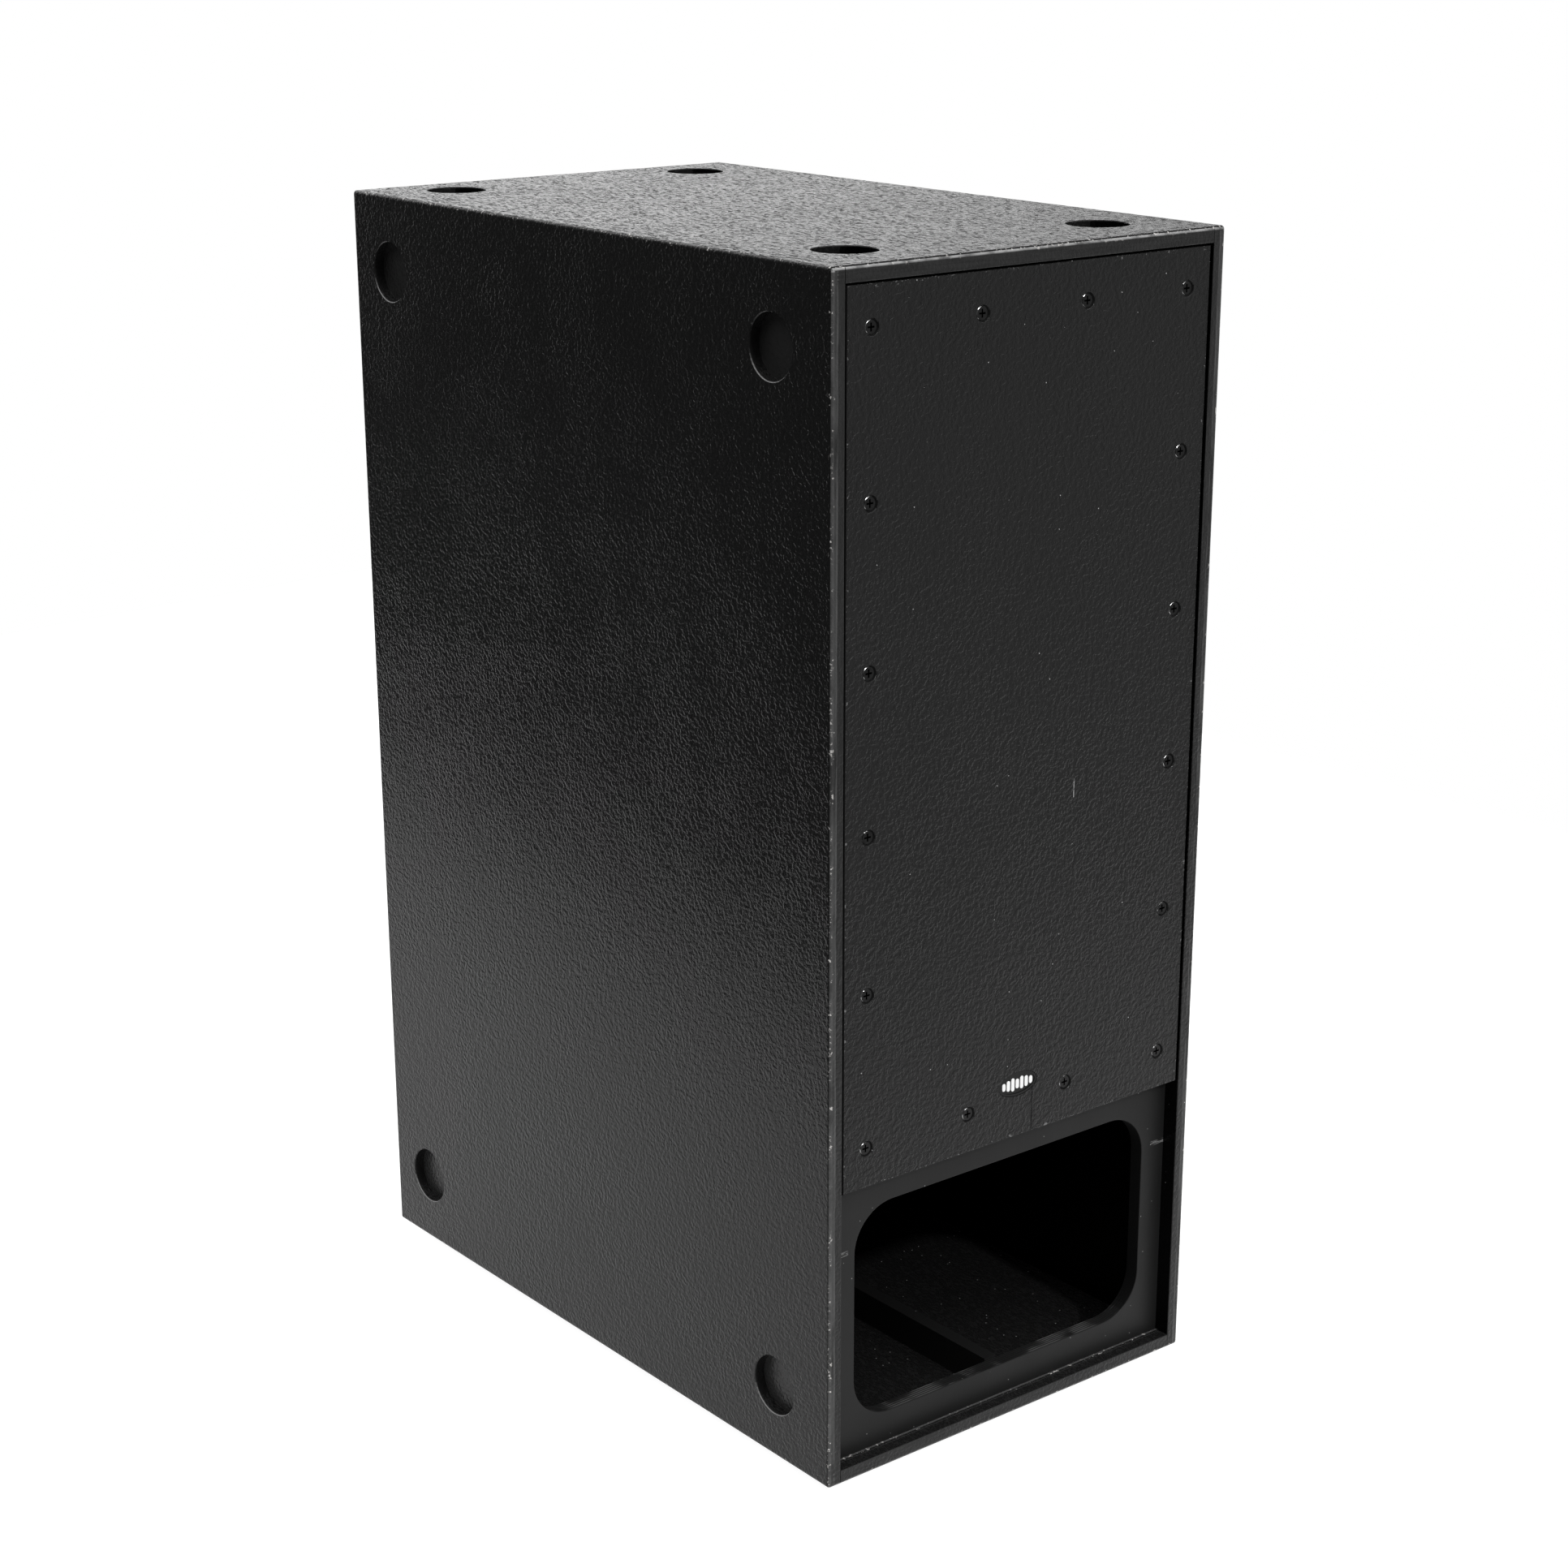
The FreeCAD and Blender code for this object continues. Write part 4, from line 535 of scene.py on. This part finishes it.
FINISHES = {
    "inner_ply": plywood(),
    "gasket_foam": foam(),
    "badge_metal": enamel("badge_black_enamel", 0.004, 0.22, 0.15),
    "dark_zinc": plated("dark_zinc_plate", 0.05, 0.02, 0.18),
    "bright_zinc": plated("bright_zinc_plate", 0.55, 0.01, 0.30),
    "cast_basket": powder("basket_powder_coat", 0.022, 0.7 * MM, 0.42, 0.08 * MM),
    "ferrite": powder("ferrite_magnet", 0.030, 0.4 * MM, 0.62, 0.05 * MM),
    "motor_steel": turned("turned_steel", 0.42, 0.5 * MM),
    "coil_former": winding(),
    "cone_paper": paper(),
    "cloth_suspension": cloth(),
    "black_plastic": powder("moulded_black_plastic", 0.016, 0.6 * MM, 0.40, 0.04 * MM),
    "plate_black": powder("plate_powder_coat", 0.018, 0.8 * MM, 0.38, 0.06 * MM),
    "foot_rubber": rubber("foot_rubber", 0.016, 0.62),
    "lead_jacket": rubber("lead_jacket_pvc", 0.014, 0.42),
    "smooth_paint": board_paint(),
    "textured_paint": shell_paint(),
}
OWN_FINISH = {"cover_panel": cover_paint(), "cover_screws": cover_screw_zinc()}

for part in frame["record"]["subparts"]:
    name = part["node"]
    material = OWN_FINISH.get(name, FINISHES[part["material_slot"]])
    for slot in frame["nodes"][name].material_slots:
        slot.material = material


# ---------------------------------------------------------------- the badge's mark


def mesh_object(name, mesh_maker, material, body):
    """A new piece from a function that fills a bmesh."""
    mesh = bpy.data.meshes.new(name)
    bm = bmesh.new()
    mesh_maker(bm)
    bmesh.ops.recalc_face_normals(bm, faces=bm.faces)
    bm.to_mesh(mesh)
    bm.free()
    mesh.materials.append(material)
    piece = bpy.data.objects.new(name, mesh)
    bpy.context.scene.collection.objects.link(piece)
    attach(piece, body)
    return piece


def badge_bars(bm):
    """Upright bars of different heights with rounded ends, standing on the badge's plate."""
    low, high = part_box("badge")
    middle = (low + high) / 2
    rim_height, thickness = 0.7 * MM, 0.55 * MM
    plate = low.y + rim_height
    width, gap = 4.2 * MM, 1.6 * MM
    heights = [8.0, 11.0, 13.5, 10.0, 13.0, 11.0, 8.0]
    start = middle.x - (len(heights) * width + (len(heights) - 1) * gap) / 2
    steps = 8
    for index, size in enumerate(heights):
        centre = start + index * (width + gap) + width / 2
        radius, straight = width / 2, size * MM / 2 - width / 2
        outline = []
        for end, turn in ((straight, 0.0), (-straight, math.pi)):
            for k in range(steps + 1):
                angle = turn + math.pi * k / steps
                across, up = radius * math.cos(angle), end + radius * math.sin(angle)
                outline.append((centre + across, middle.z + up))
        base = [bm.verts.new((x, plate, z)) for x, z in outline]
        face = bm.faces.new(base)
        grown = bmesh.ops.extrude_face_region(bm, geom=[face])
        raised = [v for v in grown["geom"] if isinstance(v, bmesh.types.BMVert)]
        bmesh.ops.translate(bm, verts=raised, vec=(0, -thickness, 0))
        top = [e for e in bm.edges if all(v in raised for v in e.verts)]
        bmesh.ops.bevel(bm, geom=top, offset=0.18 * MM, segments=2, affect="EDGES", profile=0.5)


mesh_object("badge_mark", badge_bars, enamel("mark_white_enamel", 0.76, 0.3), "cabinet")


# ---------------------------------------------------------------- studio


def studio_floor():
    """Sheet of pale diffusing acrylic, lit from below, turned a little under the cabinet."""
    low, high, turn = Vector((-1.04, -1.36, 0)), Vector((2.0, 3.2, 0)), math.radians(3.0)
    size, middle = high - low, (low + high) / 2
    mesh = bpy.data.meshes.new("studio_floor")
    bm = bmesh.new()
    place = Matrix.Rotation(turn, 4, "Z") @ Matrix.Translation(middle)
    place = place @ Matrix.Diagonal((size.x, size.y, 1, 1))
    bmesh.ops.create_grid(bm, x_segments=1, y_segments=1, size=0.5, matrix=place)
    bm.to_mesh(mesh)
    bm.free()
    net = Net("lit_acrylic")
    tone = net.mix(net.noise(3.0, 2.0), grey(0.20), grey(0.22))
    mesh.materials.append(net.finish(Base_Color=tone, Roughness=0.9,
                                     Emission_Color=(1, 1, 1, 1), Emission_Strength=0.95,
                                     Normal=net.bump(net.noise(700.0), 0.05 * MM)))
    floor = bpy.data.objects.new("studio_floor", mesh)
    bpy.context.scene.collection.objects.link(floor)


def studio_world():
    """White backdrop. Light and reflections come from a bright ceiling, a bright wall behind, a soft
    glow ahead and a dim room."""
    world = bpy.data.worlds.new("studio")
    bpy.context.scene.world = world
    world.use_nodes = True
    nodes, links = world.node_tree.nodes, world.node_tree.links
    nodes.clear()

    def math_node(operation, *values):
        node = nodes.new("ShaderNodeMath")
        node.operation = operation
        for socket, value in zip(node.inputs, values):
            if isinstance(value, bpy.types.NodeSocket):
                links.new(value, socket)
            else:
                socket.default_value = value
        return node.outputs[0]

    direction = nodes.new("ShaderNodeTexCoord").outputs["Generated"]

    def glow(towards, inner, outer, level):
        """A soft round patch of light: full inside one angle from a direction, none outside another."""
        dot = nodes.new("ShaderNodeVectorMath")
        dot.operation = "DOT_PRODUCT"
        links.new(direction, dot.inputs[0])
        dot.inputs[1].default_value = Vector(towards).normalized()
        ramp = nodes.new("ShaderNodeMapRange")
        ramp.interpolation_type = "SMOOTHSTEP"
        links.new(dot.outputs["Value"], ramp.inputs["Value"])
        ramp.inputs["From Min"].default_value = math.cos(math.radians(outer))
        ramp.inputs["From Max"].default_value = math.cos(math.radians(inner))
        ramp.inputs["To Max"].default_value = level
        return ramp.outputs[0]

    ceiling = glow((0, 0, 1), 48, 60, 2.6)
    wall = glow((0.28, 0.90, 0.35), 10, 46, 2.2)
    front = glow((0.60, -0.74, -0.25), 15, 60, 0.85)
    dim_room = 0.10
    light = math_node("ADD", math_node("MAXIMUM", ceiling, wall), math_node("ADD", front, dim_room))
    room = nodes.new("ShaderNodeBackground")
    links.new(light, room.inputs["Strength"])
    backdrop = nodes.new("ShaderNodeBackground")
    backdrop.inputs["Color"].default_value = (1, 1, 1, 1)
    mixer = nodes.new("ShaderNodeMixShader")
    links.new(nodes.new("ShaderNodeLightPath").outputs["Is Camera Ray"], mixer.inputs[0])
    links.new(room.outputs[0], mixer.inputs[1])
    links.new(backdrop.outputs[0], mixer.inputs[2])
    links.new(mixer.outputs[0], nodes.new("ShaderNodeOutputWorld").inputs[0])


def key_light():
    """Key light almost straight ahead of the mouth and above it, small enough to throw its outline."""
    light = bpy.data.lights.new("key_light", "SUN")
    light.energy = 1.3
    light.angle = math.radians(3.0)
    lamp = bpy.data.objects.new("key_light", light)
    side, height = math.radians(3.6), math.radians(39.0)
    towards = Vector((-math.sin(side) * math.cos(height), -math.cos(side) * math.cos(height),
                      math.sin(height)))
    lamp.rotation_mode = "QUATERNION"
    lamp.rotation_quaternion = towards.to_track_quat("Z", "Y")
    bpy.context.scene.collection.objects.link(lamp)


def camera():
    """Camera at the photograph's angle, left of the front and above the cabinet."""
    data = bpy.data.cameras.new("camera")
    data.sensor_width = 36.0
    data.lens = 68.68
    data.shift_x, data.shift_y = -0.01421, 0.04676
    eye = bpy.data.objects.new("camera", data)
    azimuth, elevation = math.radians(38.892), math.radians(18.545)
    ahead = Vector((math.cos(elevation) * math.sin(azimuth), math.cos(elevation) * math.cos(azimuth),
                    -math.sin(elevation)))
    eye.location = (-1.83143, -2.32166, 1.48866)
    eye.rotation_mode = "QUATERNION"
    eye.rotation_quaternion = ahead.to_track_quat("-Z", "Y")
    bpy.context.scene.collection.objects.link(eye)
    bpy.context.scene.camera = eye


studio_floor()
studio_world()
key_light()
camera()
bpy.context.scene.view_settings.view_transform = "Standard"
